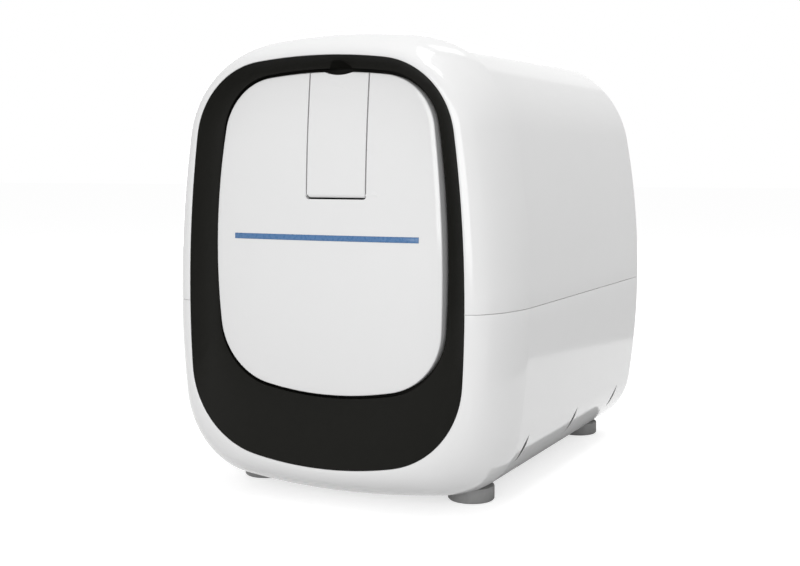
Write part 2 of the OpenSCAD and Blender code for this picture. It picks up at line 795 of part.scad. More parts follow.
module guide_rods() {
    color("silver") for (x = rod_x)
        rod_along_y(rod_r, x, rod_z, stage_front, rear_block_y + block_t);
}

module slide_tray() {
    bush_r = 4.6;
    bush_l = 12;
    ends = [tray_front, tray_front + tray_l - bush_l];
    nut_y = tray_front + tray_l - 14;
    pocket_y = tray_front + (tray_l - slide_l) / 2;
    tray_half = rod_span / 2 + bush_r;
    color("lightsteelblue") difference() {
        union() {
            rounded_plate([door_x - tray_half, door_x + tray_half],
                [tray_front, tray_front + tray_l], [tray_z, tray_top], 2);
            for (x = rod_x, y = ends) {
                rod_along_y(bush_r, x, rod_z, y, y + bush_l);
                block([x - bush_r, x + bush_r], [y, y + bush_l], [rod_z, tray_top]);
            }
            rod_along_y(5.2, tray_screw_x, rod_z, nut_y, nut_y + 14);
            block([tray_screw_x - 5.2, rod_x[0]], [nut_y, nut_y + 14], [rod_z, tray_top]);
            translate([clip_x, clip_y, tray_z]) cylinder(r = 1.2, h = tray_t + clip_t + 0.4);
        }
        for (x = rod_x) rod_along_y(rod_r + run_fit, x, rod_z, tray_front - 1, tray_front + tray_l + 1);
        rod_along_y(tray_screw_r + run_fit, tray_screw_x, rod_z, nut_y - 1, nut_y + 15);
        block([door_x - slide_w / 2, door_x + slide_w / 2], [pocket_y, pocket_y + slide_l],
            [tray_top - 1.2, tray_top + 1]);
        block([door_x - 10.5, door_x + 10.5], [pocket_y + 4, pocket_y + slide_l - 4],
            [tray_z - 3, tray_top]);
        rod_along_y(9, door_x, tray_top + 6, tray_front - 1, pocket_y + 1);
    }
}

// Sprung lever that holds a slide against the far side of its pocket
module slide_clip() {
    reach = slide_w / 2 - 1;
    color("silver") difference() {
        translate([0, 0, tray_top]) linear_extrude(clip_t) {
            translate([clip_x, clip_y]) circle(r = 2.4);
            translate([clip_x - 1, clip_y - 14]) square([2, 14]);
            translate([clip_x - 1, clip_y - 16]) square([door_x - reach - clip_x, 3]);
        }
        translate([clip_x, clip_y, tray_top - 1]) cylinder(r = 1.2 + run_fit, h = clip_t + 2);
    }
}

module tray_screw() {
    color("gray") union() {
        rod_along_y(tray_screw_r, tray_screw_x, rod_z, stage_front + 0.5, motor_y + 6);
        rod_along_y(tray_screw_r + 1.5, tray_screw_x, rod_z, rear_block_y - 1.5,
            rear_block_y - 0.2);
    }
}

module stepper(w, l) {
    chamfer = w / 8;
    half = w / 2;
    linear_extrude(l) polygon([[half - chamfer, -half], [half, chamfer - half],
        [half, half - chamfer], [half - chamfer, half], [chamfer - half, half],
        [-half, half - chamfer], [-half, chamfer - half], [chamfer - half, -half]]);
}

module tray_motor() {
    color("dimgray") difference() {
        union() {
            translate([tray_screw_x, motor_y + motor_l, rod_z]) rotate([90, 0, 0])
                stepper(motor_w, motor_l);
            block([tray_screw_x - 9, tray_screw_x + 9], [motor_y + 4, motor_y + motor_l - 4],
                [deck_top - 0.3, rod_z]);
        }
        block([tray_screw_x - 20, tray_screw_x + 20], [motor_y - 1, motor_y + motor_l + 1],
            [deck_z - 20, deck_top]);
        rod_along_y(tray_screw_r + run_fit, tray_screw_x, rod_z, motor_y - 1, motor_y + 6.3);
    }
}

module bay_hood() {
    left = door_x - bay_w / 2 - hood_wall;
    right = door_x + bay_w / 2 + hood_wall;
    y0 = floor_y + bezel_wall;
    color([0.15, 0.15, 0.15]) difference() {
        union() {
            block([left, right], [y0, y0 + hood_len], [hood_bottom, bay_top + hood_wall]);
            block([left - 5, right + 5], [y0, y0 + hood_wall],
                [hood_bottom + 8, bay_top + hood_wall]);
        }
        block([left + hood_wall, right - hood_wall], [y0 - 1, y0 + hood_len - hood_wall],
            [hood_bottom - 1, bay_top]);
        block([door_x - 2.5, door_x + 2.5], [y0 - 1, y0 + 1.2], [bay_top - 1, bay_top + 4]);
    }
}

// Optics

module optics_plate() {
    color("lightgray") difference() {
        block([door_x - 40, focus_x + 13], [plate_y, plate_y + plate_t], [chassis_top, deck_z]);
        for (z = [40, 66])
            rod_along_y(6, door_x - 30, z, plate_y - 1, plate_y + plate_t + 1);
    }
}

module focus_rail() {
    color("silver") difference() {
        block([door_x - 3.5, door_x + 3.5], [plate_y - 5, plate_y], [cube_top + 2, deck_z - 4]);
        for (side = [-1, 1])
            block([door_x + side * 4.2 - 1, door_x + side * 4.2 + 1],
                [plate_y - 3.2, plate_y - 1.6], [cube_top, deck_z]);
    }
}

module focus_carriage() {
    top = ring_z + ring_t;
    color("steelblue") difference() {
        union() {
            translate([door_x, axis_y, ring_z]) cylinder(r = objective_r + 3, h = ring_t);
            block([door_x - 10, door_x + 10], [axis_y + 8, plate_y - 1], [ring_z - 1, top + 6]);
            block([door_x, focus_x], [focus_y - 4, focus_y + 4], [ring_z, ring_z + 8]);
            translate([focus_x, focus_y, ring_z]) cylinder(r = 5.5, h = 8);
        }
        block([door_x - 3.8, door_x + 3.8], [plate_y - 5.3, plate_y], [ring_z - 3, top + 8]);
        translate([door_x, axis_y, ring_z - 2]) cylinder(r = objective_r - 1, h = ring_t + 10);
        translate([door_x, axis_y, top]) cylinder(r = objective_r + 2.3, h = ring_t);
        translate([focus_x, focus_y, ring_z - 2])
            cylinder(r = focus_screw_r + run_fit, h = 12);
    }
}

module objective() {
    shoulder = ring_z + ring_t;
    color("silver") translate([door_x, axis_y, 0]) difference() {
        union() {
            translate([0, 0, ring_z]) cylinder(r = objective_r - 1, h = ring_t + 1);
            translate([0, 0, shoulder]) cylinder(r = objective_r + 2, h = 2);
            translate([0, 0, shoulder + 2]) cylinder(r = objective_r, h = 11);
            translate([0, 0, shoulder + 13])
                cylinder(r1 = objective_r, r2 = 6.5, h = objective_top - shoulder - 18);
            translate([0, 0, objective_top - 5]) cylinder(r = 6.5, h = 5);
        }
        translate([0, 0, objective_top - 1]) cylinder(r = 4, h = 2);
        translate([0, 0, ring_z - 1]) cylinder(r = objective_r - 3, h = 6);
        for (z = [shoulder + 5, shoulder + 8]) translate([0, 0, z]) difference() {
            cylinder(r = objective_r + 1, h = 1);
            translate([0, 0, -1]) cylinder(r = objective_r - 0.6, h = 3);
        }
    }
}

module focus_screw() {
    color("gray") translate([focus_x, focus_y, focus_motor_top - 5])
        cylinder(r = focus_screw_r, h = deck_z - focus_motor_top - 1);
}

module focus_motor() {
    half = focus_motor_w / 2;
    color("dimgray") difference() {
        union() {
            translate([focus_x, focus_y, focus_motor_top - 28]) stepper(focus_motor_w, 28);
            block([focus_x - 7, focus_x + 7], [focus_y, plate_y],
                [focus_motor_top - 26, focus_motor_top - 4]);
        }
        translate([focus_x, focus_y, focus_motor_top - 5.3])
            cylinder(r = focus_screw_r + run_fit, h = 8);
    }
}

module filter_cube() {
    half = cube_w / 2;
    color([0.2, 0.2, 0.22]) difference() {
        block([door_x - half, door_x + half], [axis_y - half, plate_y],
            [cube_bottom, cube_top]);
        translate([door_x, axis_y, cube_bottom - 1]) cylinder(r = 9, h = cube_w + 2);
        rod_along_x(9, axis_y, led_z, door_x - half - 1, door_x);
        block([door_x - half + 3, door_x + half - 3], [axis_y - half - 1, axis_y - half + 0.8],
            [cube_bottom + 3, cube_top - 3]);
    }
}

module tube_lens() {
    color("dimgray") translate([door_x, axis_y, 0]) difference() {
        union() {
            translate([0, 0, camera_top]) cylinder(r = tube_r, h = cube_bottom - camera_top);
            for (z = [camera_top + 6:4:cube_bottom - 8])
                translate([0, 0, z]) cylinder(r = tube_r + 1, h = 2);
        }
        translate([0, 0, camera_top - 1]) cylinder(r = tube_r - 3, h = cube_bottom - camera_top + 2);
    }
}

module camera() {
    half = camera_w / 2;
    fin = 2;
    color([0.25, 0.25, 0.28]) difference() {
        block([door_x - half, door_x + half], [axis_y - half, axis_y + half],
            [chassis_top, camera_top]);
        for (z = [chassis_top + 8:2 * fin:camera_top - 8], side = [-1, 1])
            block(side > 0 ? [door_x + half - 2.5, door_x + half + 1]
                : [door_x - half - 1, door_x - half + 2.5],
                [axis_y - half - 1, axis_y + half + 1], [z, z + fin]);
        translate([door_x, axis_y, camera_top - 8]) cylinder(r = tube_r - 4, h = 9);
    }
}

module led_tube() {
    right = door_x - cube_w / 2;
    color("dimgray") difference() {
        union() {
            rod_along_x(12, axis_y, led_z, right - 26, right);
            rod_along_x(13, axis_y, led_z, right - 18, right - 14);
        }
        rod_along_x(9, axis_y, led_z, right - 24, right + 1);
    }
}

module led_heatsink() {
    right = door_x - cube_w / 2 - 26;
    fin_pitch = 4.2;
    half = heatsink_w / 2;
    color("gray") union() {
        block([right - 4, right], [axis_y - half, axis_y + half], [led_z - half, led_z + half]);
        for (y = [axis_y - half:fin_pitch:axis_y + half - 2])
            block([right - 20, right - 3.9], [y, y + 1.8], [led_z - half, led_z + half]);
    }
}

module lamp_arm() {
    arm_z = lamp_z + 14;
    color("lightgray") difference() {
        union() {
            block([lamp_post_x, lamp_post_x + 9], [axis_y - 8, axis_y + 8],
                [deck_top, arm_z + 6]);
            block([door_x, lamp_post_x + 1], [axis_y - 8, axis_y + 8], [arm_z, arm_z + 6]);
            translate([door_x, axis_y, arm_z]) cylinder(r = 13, h = 6);
        }
        translate([door_x, axis_y, arm_z - 1]) cylinder(r = 8, h = 8);
    }
}

module lamp_head() {
    color("dimgray") translate([door_x, axis_y, 0]) difference() {
        union() {
            translate([0, 0, lamp_z]) cylinder(r = 11, h = 14);
            translate([0, 0, lamp_z + 14]) cylinder(r = 8, h = 10);
            for (z = [0:2]) translate([0, 0, lamp_z + 21 + z * 2.5]) cylinder(r = 11, h = 1.2);
        }
        translate([0, 0, lamp_z - 1]) cylinder(r = 7.5, h = 8);
    }
}

// Electronics

module main_board() {
    color("darkgreen") difference() {
        union() {
            block(board_x, board_y, [board_z, board_top]);
            block([-6, 12], [48, 66], [board_top, board_top + 2.2]);
            block([18, 30], [44, 56], [board_top, board_top + 1.6]);
            block([-28, -18], [60, 84], [board_top, board_top + 7]);
            block([-4, 26], [36, 41], [board_top, board_top + 6]);
            for (x = [20:7:34]) translate([x, 72, board_top]) cylinder(r = 2.8, h = 8);
        }
        for (x = board_holes_x, y = board_holes_y)
            translate([x, y, board_z - 1]) cylinder(r = 1.6, h = 4);
    }
}
board_holes_x = [board_x[0] + 4, board_x[1] - 4];
board_holes_y = [board_y[0] + 4, board_y[1] - 20];

module board_standoffs() {
    color("gold") for (x = board_holes_x, y = board_holes_y)
        translate([x, y, chassis_top]) cylinder(r = 3, h = board_z - chassis_top);
}

// A socket's shell on the board's rear edge, its face flush with the rear panel
module socket_shell(x, w, h, hole_w, hole_h) {
    y1 = panel_y + rear_t;
    difference() {
        block([x - w / 2, x + w / 2], [y1 - socket_d - 5, y1], [board_top, board_top + h]);
        block([x - hole_w / 2, x + hole_w / 2], [y1 - socket_d + 2, y1 + 1],
            [board_top + h / 2 - hole_h / 2, board_top + h / 2 + hole_h / 2]);
    }
}
module usb_sockets() {
    color("silver") for (x = usb_xs)
        socket_shell(x, 13.2, 6.8, 12, 5);
}
module network_socket() {
    color("silver") socket_shell(network_x, 15.8, 13.2, 11.8, 8.4);
}
module power_inlet() {
    y1 = panel_y + rear_t;
    z = board_top + 6.5;
    color([0.1, 0.1, 0.1]) union() {
        difference() {
            union() {
                rod_along_y(5, inlet_x, z, y1 - 8, y1 + 0.8);
                block([inlet_x - 5, inlet_x + 5], [y1 - socket_d, y1 - 3], [board_top, z + 5]);
            }
            rod_along_y(3.2, inlet_x, z, y1 - 11, y1 + 2);
        }
        rod_along_y(1, inlet_x, z, y1 - 12, y1 - 1);
    }
}

// Rocker switch: the rocker lies tilted in its off position at rest
rocker_tilt = 8;
rocker_y = panel_y + rear_t - 2;
module power_switch() {
    y1 = panel_y + rear_t;
    color([0.1, 0.1, 0.1]) difference() {
        union() {
            block([switch_x - 6.5, switch_x + 6.5], [y1 - 17, y1 + 0.5],
                [switch_z - 9.5, switch_z + 9.5]);
            block([switch_x - 7.5, switch_x + 7.5], [y1, y1 + 1.5],
                [switch_z - 10.5, switch_z + 10.5]);
        }
        block([switch_x - 5.3, switch_x + 5.3], [y1 - 9, y1 + 3],
            [switch_z - 8.3, switch_z + 8.3]);
    }
    color([0.1, 0.1, 0.1])
        rod_along_x(1.2, rocker_y, switch_z, switch_x - 5.5, switch_x + 5.5);
}
module power_rocker() {
    color([0.18, 0.18, 0.18]) difference() {
        translate([switch_x, rocker_y, switch_z]) rotate([rocker_tilt, 0, 0])
            translate([-4.9, 0, 0]) rotate([90, 0, 90]) linear_extrude(9.8)
                polygon([[-3, -4], [-3, 4], [1.8, 7.6], [3.2, 7.4], [2.2, 0],
                    [3.2, -7.4], [1.8, -7.6]]);
        rod_along_x(1.2 + run_fit, rocker_y, switch_z, switch_x - 6, switch_x + 6);
    }
}

// Fan

fan_hub_r = 13;
fan_y = [panel_y - fan_t, panel_y];
module fan_frame() {
    bore_r = fan_w / 2 - 1.8;
    half = fan_w / 2;
    color([0.12, 0.12, 0.12]) difference() {
        union() {
            difference() {
                translate([fan_x, 0, fan_z]) rotate([90, 0, 0]) translate([0, 0, -fan_y[1]])
                    rounded_plate([-half, half], [-half, half], [0, fan_t], 3);
                rod_along_y(bore_r, fan_x, fan_z, fan_y[0] - 1, fan_y[1] + 1);
            }
            rod_along_y(fan_hub_r, fan_x, fan_z, fan_y[0], fan_y[0] + 2.5);
            for (a = [0, 90]) translate([fan_x, fan_y[0] + 1.25, fan_z]) rotate([0, a + 45, 0])
                cube([2 * bore_r + 2, 2.5, 4], center = true);
            rod_along_y(1.5, fan_x, fan_z, fan_y[0] + 1, fan_y[1] - 4);
        }
        for (x = [-1, 1], z = [-1, 1])
            rod_along_y(1.9, fan_x + x * (half - 5), fan_z + z * (half - 5),
                fan_y[0] - 1, fan_y[1] + 1);
    }
}
module fan_rotor() {
    blades = 7;
    y0 = fan_y[0] + 3;
    y1 = fan_y[1] - 2;
    color([0.2, 0.2, 0.2]) difference() {
        union() {
            rod_along_y(fan_hub_r, fan_x, fan_z, y0, y1);
            for (i = [0:blades - 1])
                translate([fan_x, (y0 + y1) / 2, fan_z]) rotate([0, i * 360 / blades, 0])
                    translate([0, 0, fan_hub_r - 1]) rotate([0, 0, 40])
                        translate([-6, -0.6, 0]) cube([12, 1.2, fan_w / 2 - 3 - fan_hub_r]);
        }
        rod_along_y(1.5 + run_fit, fan_x, fan_z, y0 - 1, fan_y[1] - 3.9);
    }
}
module fan_screws() {
    color("silver") for (x = [-1, 1], z = [-1, 1])
        translate([fan_x + x * (fan_w / 2 - 5), panel_y + rear_t, fan_z + z * (fan_w / 2 - 5)])
            rotate([90, 0, 0]) pan_screw(3, 1.8, 1.9, rear_t + 10);
}

upper_shell();
lower_shell();
front_bezel();
front_panel();
loading_door();
door_hinge_pin();
door_magnet();
door_keeper();
light_bar();
light_bar_board();
rear_panel();
front_left_foot();
front_right_foot();
rear_left_foot();
rear_right_foot();
foot_screws();
shell_screws();
panel_screws();
rear_panel_screws();
chassis();
deck_posts();
stage_deck();
bay_hood();
front_rod_block();
rear_rod_block();
guide_rods();
slide_tray();
slide_clip();
tray_screw();
tray_motor();
optics_plate();
focus_rail();
focus_carriage();
objective();
focus_screw();
focus_motor();
filter_cube();
tube_lens();
camera();
led_tube();
led_heatsink();
lamp_arm();
lamp_head();
main_board();
board_standoffs();
network_socket();
usb_sockets();
power_inlet();
power_switch();
power_rocker();
fan_frame();
fan_rotor();
fan_screws();
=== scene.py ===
"""Automated cell counter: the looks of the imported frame.

Sizes are in millimetres until a mesh is made; X is to the right, Y to the rear, Z up.
"""
import math
import bmesh
import bpy
from mathutils import Matrix, Vector
from mathutils.bvhtree import BVHTree

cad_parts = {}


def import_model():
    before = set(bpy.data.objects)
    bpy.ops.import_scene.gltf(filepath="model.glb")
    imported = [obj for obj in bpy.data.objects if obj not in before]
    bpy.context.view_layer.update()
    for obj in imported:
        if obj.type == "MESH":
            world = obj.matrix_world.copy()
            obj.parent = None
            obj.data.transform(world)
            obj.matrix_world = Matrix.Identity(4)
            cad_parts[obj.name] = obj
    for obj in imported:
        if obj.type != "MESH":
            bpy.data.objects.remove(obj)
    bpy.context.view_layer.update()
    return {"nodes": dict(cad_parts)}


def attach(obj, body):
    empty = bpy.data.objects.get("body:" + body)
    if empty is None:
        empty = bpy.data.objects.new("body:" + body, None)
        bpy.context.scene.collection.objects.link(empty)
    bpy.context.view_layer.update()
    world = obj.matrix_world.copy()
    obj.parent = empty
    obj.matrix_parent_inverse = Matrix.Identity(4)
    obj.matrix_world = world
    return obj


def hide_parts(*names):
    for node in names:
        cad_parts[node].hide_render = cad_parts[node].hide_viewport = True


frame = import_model()

MM = 0.001

# Housing
BODY_D = 258.8
SEAM_Z = 105.5
WALL = 3
RIM_DEPTH = 41
RIM_END = 80          # degrees of a quarter turn that the rim takes up to its crease
CREASE = 1.6          # softness of the crease, on both sides of it
FRONT_EDGE_R = 0.45
REAR_ROUND = 6
LIP_DEPTH = 6
LIP_INSET = 9
REAR_ROOM = 2.8       # before the lip, for the rear panel
LAND_W = 3
FRONT_Y = -BODY_D / 2
REAR_Y = BODY_D / 2
SEAM_GAP = 0.09
SEAM_CHAMFER = 0.32
SEAM_GROOVE = 0.28

# Outlines of eight tangent arcs:
# half width, top, bottom, widest level, radii of side, top, bottom, upper and lower corner
BODY = (99.5, 249, 1, SEAM_Z, 477, 323, 462, 62.6, 39.4)
BEZEL = (80.4, 233.8, 20.6, SEAM_Z, 646, 295, 207, 43.6, 48.5)
PANEL = (66.2, 225.8, 58.4, 125.8, 493, 283, 188, 31, 35.3)

# Bezel
DISH_DEPTH = 9
DISH_CURVE = 1.7
DISH_STEPS = 28
FLOOR_Y = FRONT_Y + 14
BEZEL_WALL = 2.5
BEZEL_FIT = 0.1
LAND_FIT = 0.2        # round the flange that rests on the land
FLANGE_LAP = 1
FLOOR_LAP = 2
SCOOP_R = 10
SCOOP_RISE = 5.6      # top of the scoop above the panel
SCOOP_IN = 5

# Front panel, door and light bar
DOME_R = 665
DOME_SET = 2.2
DOME_Z = (PANEL[1] + PANEL[2]) / 2
PANEL_WALL = 2.6
PANEL_GAP = 1.8
PANEL_EDGE_R = 0.7
HOLLOW_EDGE_R = 0.3
DOOR_X = 7.9
DOOR_W = 34.8
DOOR_SILL = 160.9
DOOR_GAP = 0.8
DOOR_CORNER = 1.7
BARREL_R = 1.5
BARREL_SET = 0.05
PIN_R = 0.7
PIN_FIT = 0.05
PIN_LEN = DOOR_W + 10
LUG_W = 6
NOTCH_R = 23
NOTCH_DEPTH = 1.8
BAY_W = DOOR_W - 1.5
BAY_TOP = PANEL[1] - 5
DOOR_BACK_Y = FRONT_Y + 11
KEEPER_R = 3
KEEPER_T = 1
KEEPER_Z = PANEL[1] - 12
KEEPER_SEAT_R = 4.6
KEEPER_SEAT_T = 3
KEEPER_SEAT_RISE = 0.8
BAR_LEN = 108
BAR_H = 3
BAR_Z = 141
BAR_BOARD_Y = FRONT_Y + DOME_SET + PANEL_WALL + 5.6
BOARD_T = 1.6
BAR_POST_X = 48
BAR_POST_R = 3
SCOOP_CENTRE = (DOOR_X, FRONT_Y + SCOOP_IN, PANEL[1] + SCOOP_RISE - SCOOP_R)
PANEL_POSTS = ((-45, PANEL[2] + 24), (45, PANEL[2] + 24), (-40, PANEL[1] - 30),
               (45, PANEL[1] - 34))
PANEL_POST_R = 3.4
PANEL_BORE_R = 1.4
PANEL_HOLE_R = 1.7
SUNK = 1              # how far what stands on a wall starts inside it

# Feet, columns and slits
FOOT_R = 12.5
FOOT_X = 64
FOOT_YS = (FRONT_Y + 51, REAR_Y - 19)
FOOT_H = 8
FOOT_FIT = 0.1
FOOT_BORE_R = 2
PAD_TOP = FOOT_H + 6
PAD_WALL = 1.8
COLUMN_R = 6
COLUMN_X = 80
COLUMN_YS = (FRONT_Y + 68, REAR_Y - 68)
COLUMN_TOP = SEAM_Z + 22
COLUMN_GAP = 0.2      # from the seam
WEB_W = 2
SHELL_BORE_R = 2
SHELL_HOLE_R = 2.2
SCREW_SEAT_R = 4
SCREW_SEAT_TOP = 91.5
SLIT_YS = (53.5, 138, 222.5)
SLIT_Z = 29.8
SLIT_HALF_L = 7.9
SLIT_HALF_W = 2.2
SLIT_LEAN = 27        # degrees
SLIT_LIP = 0.4
SLIT_FLARE = 5.5


# ---------------------------------------------------------------- outlines

def on_arc(centre, radius, angle):
    return (centre[0] + radius * math.cos(angle), centre[1] + radius * math.sin(angle))


def arc_points(centre, radius, start, end, count):
    return [on_arc(centre, radius, start + (end - start) * i / count) for i in range(count)]


def corner_centre(side_c, side_arc, end_c, end_arc, radius, up):
    """Centre of the corner arc that touches the side arc and the end arc from inside."""
    a, b = side_arc - radius, end_arc - radius
    across = (end_c[0] - side_c[0], end_c[1] - side_c[1])
    d = math.hypot(*across)
    along = (a * a - b * b + d * d) / (2 * d)
    off = up * math.sqrt(a * a - along * along)
    u = (across[0] / d, across[1] / d)
    return (side_c[0] + u[0] * along - u[1] * off, side_c[1] + u[1] * along + u[0] * off)


ARC_STEPS = (10, 22, 16)     # side, corner, end


def quarter(shape, up):
    """Points from the widest level to the middle of the top (up 1) or bottom (up -1)."""
    half_w, top, bottom, widest, side_arc, top_arc, bottom_arc, top_r, bottom_r = shape
    end, end_arc, radius = (top, top_arc, top_r) if up > 0 else (bottom, bottom_arc, bottom_r)
    side_c = (half_w - side_arc, widest)
    end_c = (0, end - up * end_arc)
    centre = corner_centre(side_c, side_arc, end_c, end_arc, radius, up)
    a1 = math.atan2(centre[1] - side_c[1], centre[0] - side_c[0])
    a2 = math.atan2(centre[1] - end_c[1], centre[0] - end_c[0])
    side_steps, corner_steps, end_steps = ARC_STEPS
    return (arc_points(side_c, side_arc, 0, a1, side_steps)
            + arc_points(centre, radius, a1, a2, corner_steps)
            + arc_points(end_c, end_arc, a2, up * math.pi / 2, end_steps) + [(0, end)])


def half_outline(shape, up):
    """Anticlockwise as seen from the front, seam to seam."""
    q = quarter(shape, up)
    other = [(-x, z) for x, z in q]
    first, last = (q, other) if up > 0 else (other, q)
    return first + last[::-1][1:]


def full_outline(shape):
    return half_outline(shape, 1) + half_outline(shape, -1)[1:-1]


def inset(shape, d):
    """The shape drawn in by d, or let out where d is below 0."""
    half_w, top, bottom, widest, side_arc, *others = shape
    return (half_w - d, top - d, bottom + d, widest, side_arc - d, *(r - d for r in others))


def blend(a, b, t):
    """An outline at share t of the way from a to b."""
    return [(p[0] + (q[0] - p[0]) * t, p[1] + (q[1] - p[1]) * t) for p, q in zip(a, b)]


def at_y(points, y):
    return [(x, y, z) for x, z in points]


# ---------------------------------------------------------------- meshes

def new_object(name, verts, faces):
    mesh = bpy.data.meshes.new(name)
    mesh.from_pydata([[c * MM for c in v] for v in verts], [], faces)
    mesh.validate()
    obj = bpy.data.objects.new(name, mesh)
    bpy.context.scene.collection.objects.link(obj)
    return obj


def from_bmesh(name, bm):
    """A new object with the mesh that is built in bm, in metres."""
    obj = new_object(name, [], [])
    bm.to_mesh(obj.data)
    bm.free()
    return obj


def band(n, a, b):
    """Faces between two closed rings of n points, which start at points a and b."""
    return [(a + i, a + (i + 1) % n, b + (i + 1) % n, b + i) for i in range(n)]


def fan(n, a, tip):
    """Faces from a closed ring of n points, which starts at point a, to a single point."""
    return [(a + i, a + (i + 1) % n, tip) for i in range(n)]


def skin(name, rings, closed=False):
    """Solid between the rings, the last of which joins the first.

    Rings that are closed outlines make a tube. The others get a cap at their two ends.
    """
    m, n = len(rings), len(rings[0])
    verts = [p for ring in rings for p in ring]
    faces = []
    for i in range(n if closed else n - 1):
        beside = (i + 1) % n
        for j in range(m):
            after = (j + 1) % m
            faces.append((j * n + i, j * n + beside, after * n + beside, after * n + i))
    if not closed:
        faces.append([j * n for j in range(m)])
        faces.append([j * n + n - 1 for j in range(m - 1, -1, -1)])
    return outward(new_object(name, verts, faces))


def outward(obj):
    """Turns every face of a closed mesh to the outside."""
    bm = bmesh.new()
    bm.from_mesh(obj.data)
    bmesh.ops.recalc_face_normals(bm, faces=bm.faces)
    bm.to_mesh(obj.data)
    bm.free()
    return obj


def prism(name, outline, y0, y1):
    """An outline in X and Z, extruded from y0 to y1."""
    n = len(outline)
    verts = at_y(outline, y0) + at_y(outline, y1)
    faces = band(n, 0, n) + [list(range(n)), list(range(2 * n - 1, n - 1, -1))]
    return outward(new_object(name, verts, faces))


def block(name, x, y, z):
    """A box from its lower and upper bound along each axis."""
    return prism(name, [(x[0], z[0]), (x[1], z[0]), (x[1], z[1]), (x[0], z[1])], *y)


BALL_SEGMENTS = 96


def ball(name, centre, radius):
    bm = bmesh.new()
    bmesh.ops.create_uvsphere(bm, u_segments=BALL_SEGMENTS, v_segments=BALL_SEGMENTS // 2,
                              radius=radius * MM,
                              matrix=Matrix.Translation(Vector(centre) * MM))
    return from_bmesh(name, bm)


AXES = {"x": Matrix.Rotation(math.pi / 2, 4, "Y"), "y": Matrix.Rotation(math.pi / 2, 4, "X"),
        "z": Matrix.Identity(4)}


def rod(name, axis, radius, centre, length, segments=64):
    bm = bmesh.new()
    bmesh.ops.create_cone(bm, cap_ends=True, segments=segments, radius1=radius * MM,
                          radius2=radius * MM, depth=length * MM,
                          matrix=Matrix.Translation(Vector(centre) * MM) @ AXES[axis])
    return from_bmesh(name, bm)


def upright(name, radius, x, y, z0, z1):
    """A rod along Z, from z0 to z1."""
    return rod(name, "z", radius, (x, y, (z0 + z1) / 2), z1 - z0)


def combine(obj, others, how):
    """Applies a boolean with each of the others, which are used up."""
    for other in others:
        mod = obj.modifiers.new("boolean", "BOOLEAN")
        mod.operation, mod.solver, mod.object = how, "EXACT", other
        graph = bpy.context.evaluated_depsgraph_get()
        mesh = bpy.data.meshes.new_from_object(obj.evaluated_get(graph))
        obj.modifiers.clear()
        old, obj.data = obj.data, mesh
        bpy.data.meshes.remove(old)
        bpy.data.objects.remove(other)
    return obj


SMOOTH_BELOW = 32     # degrees between faces that are shaded as one
SOFTEN_ABOVE = 40     # degrees between faces whose edge gets a radius


def smooth(obj):
    mesh = obj.data
    for poly in mesh.polygons:
        poly.use_smooth = True
    mesh.set_sharp_from_angle(angle=math.radians(SMOOTH_BELOW))
    return obj


def soften(obj, width):
    """A small radius on every sharp edge."""
    mod = obj.modifiers.new("edges", "BEVEL")
    mod.width, mod.segments = width * MM, 2
    mod.limit_method, mod.angle_limit = "ANGLE", math.radians(SOFTEN_ABOVE)
    mod.use_clamp_overlap = False
    mod.harden_normals = True


# ---------------------------------------------------------------- materials

def shader_of(mat):
    return mat.node_tree.nodes["Principled BSDF"]


def material(name, colour, roughness, metallic=0.0, **sockets):
    """Further sockets of the shader are given by name, with _ for a space."""
    mat = bpy.data.materials.new(name)
    mat.use_nodes = True
    shader = shader_of(mat)
    shader.inputs["Base Color"].default_value = (*colour, 1)
    shader.inputs["Roughness"].default_value = roughness
    shader.inputs["Metallic"].default_value = metallic
    for socket, value in sockets.items():
        shader.inputs[socket.replace("_", " ")].default_value = value
    return mat


def noise(mat, scale, detail, stretch=(1, 1, 1)):
    """A noise in object space, in metres, finer along the axes with a larger stretch."""
    nodes, links = mat.node_tree.nodes, mat.node_tree.links
    place = nodes.new("ShaderNodeTexCoord")
    spread = nodes.new("ShaderNodeMapping")
    spread.inputs["Scale"].default_value = stretch
    tex = nodes.new("ShaderNodeTexNoise")
    tex.inputs["Scale"].default_value = scale
    tex.inputs["Detail"].default_value = detail
    links.new(place.outputs["Object"], spread.inputs["Vector"])
    links.new(spread.outputs["Vector"], tex.inputs["Vector"])
    return tex.outputs["Fac"]


def vary_roughness(mat, fac, low, high):
    span = mat.node_tree.nodes.new("ShaderNodeMapRange")
    span.inputs["To Min"].default_value = low
    span.inputs["To Max"].default_value = high
    mat.node_tree.links.new(fac, span.inputs["Value"])
    mat.node_tree.links.new(span.outputs["Result"], shader_of(mat).inputs["Roughness"])


def vary_colour(mat, fac, low, high):
    ramp = mat.node_tree.nodes.new("ShaderNodeValToRGB")
    ramp.color_ramp.elements[0].color = (*low, 1)
    ramp.color_ramp.elements[1].color = (*high, 1)
    mat.node_tree.links.new(fac, ramp.inputs["Fac"])
    mat.node_tree.links.new(ramp.outputs["Color"], shader_of(mat).inputs["Base Color"])


def bump(mat, fac, height):
    """height is how far the surface rises over the whole range of the noise, in mm."""
    node = mat.node_tree.nodes.new("ShaderNodeBump")
    node.inputs["Strength"].default_value = 1
    node.inputs["Distance"].default_value = height * MM
    mat.node_tree.links.new(fac, node.inputs["Height"])
    mat.node_tree.links.new(node.outputs["Normal"], shader_of(mat).inputs["Normal"])


def gloss_white():
    mat = material("gloss_white", (0.80, 0.80, 0.80), 0.1, IOR=1.5)
    vary_roughness(mat, noise(mat, 700, 3), 0.08, 0.13)
    vary_colour(mat, noise(mat, 60, 2), (0.795, 0.795, 0.795), (0.805, 0.805, 0.805))
    bump(mat, noise(mat, 2600, 3), 0.0015)
    return mat


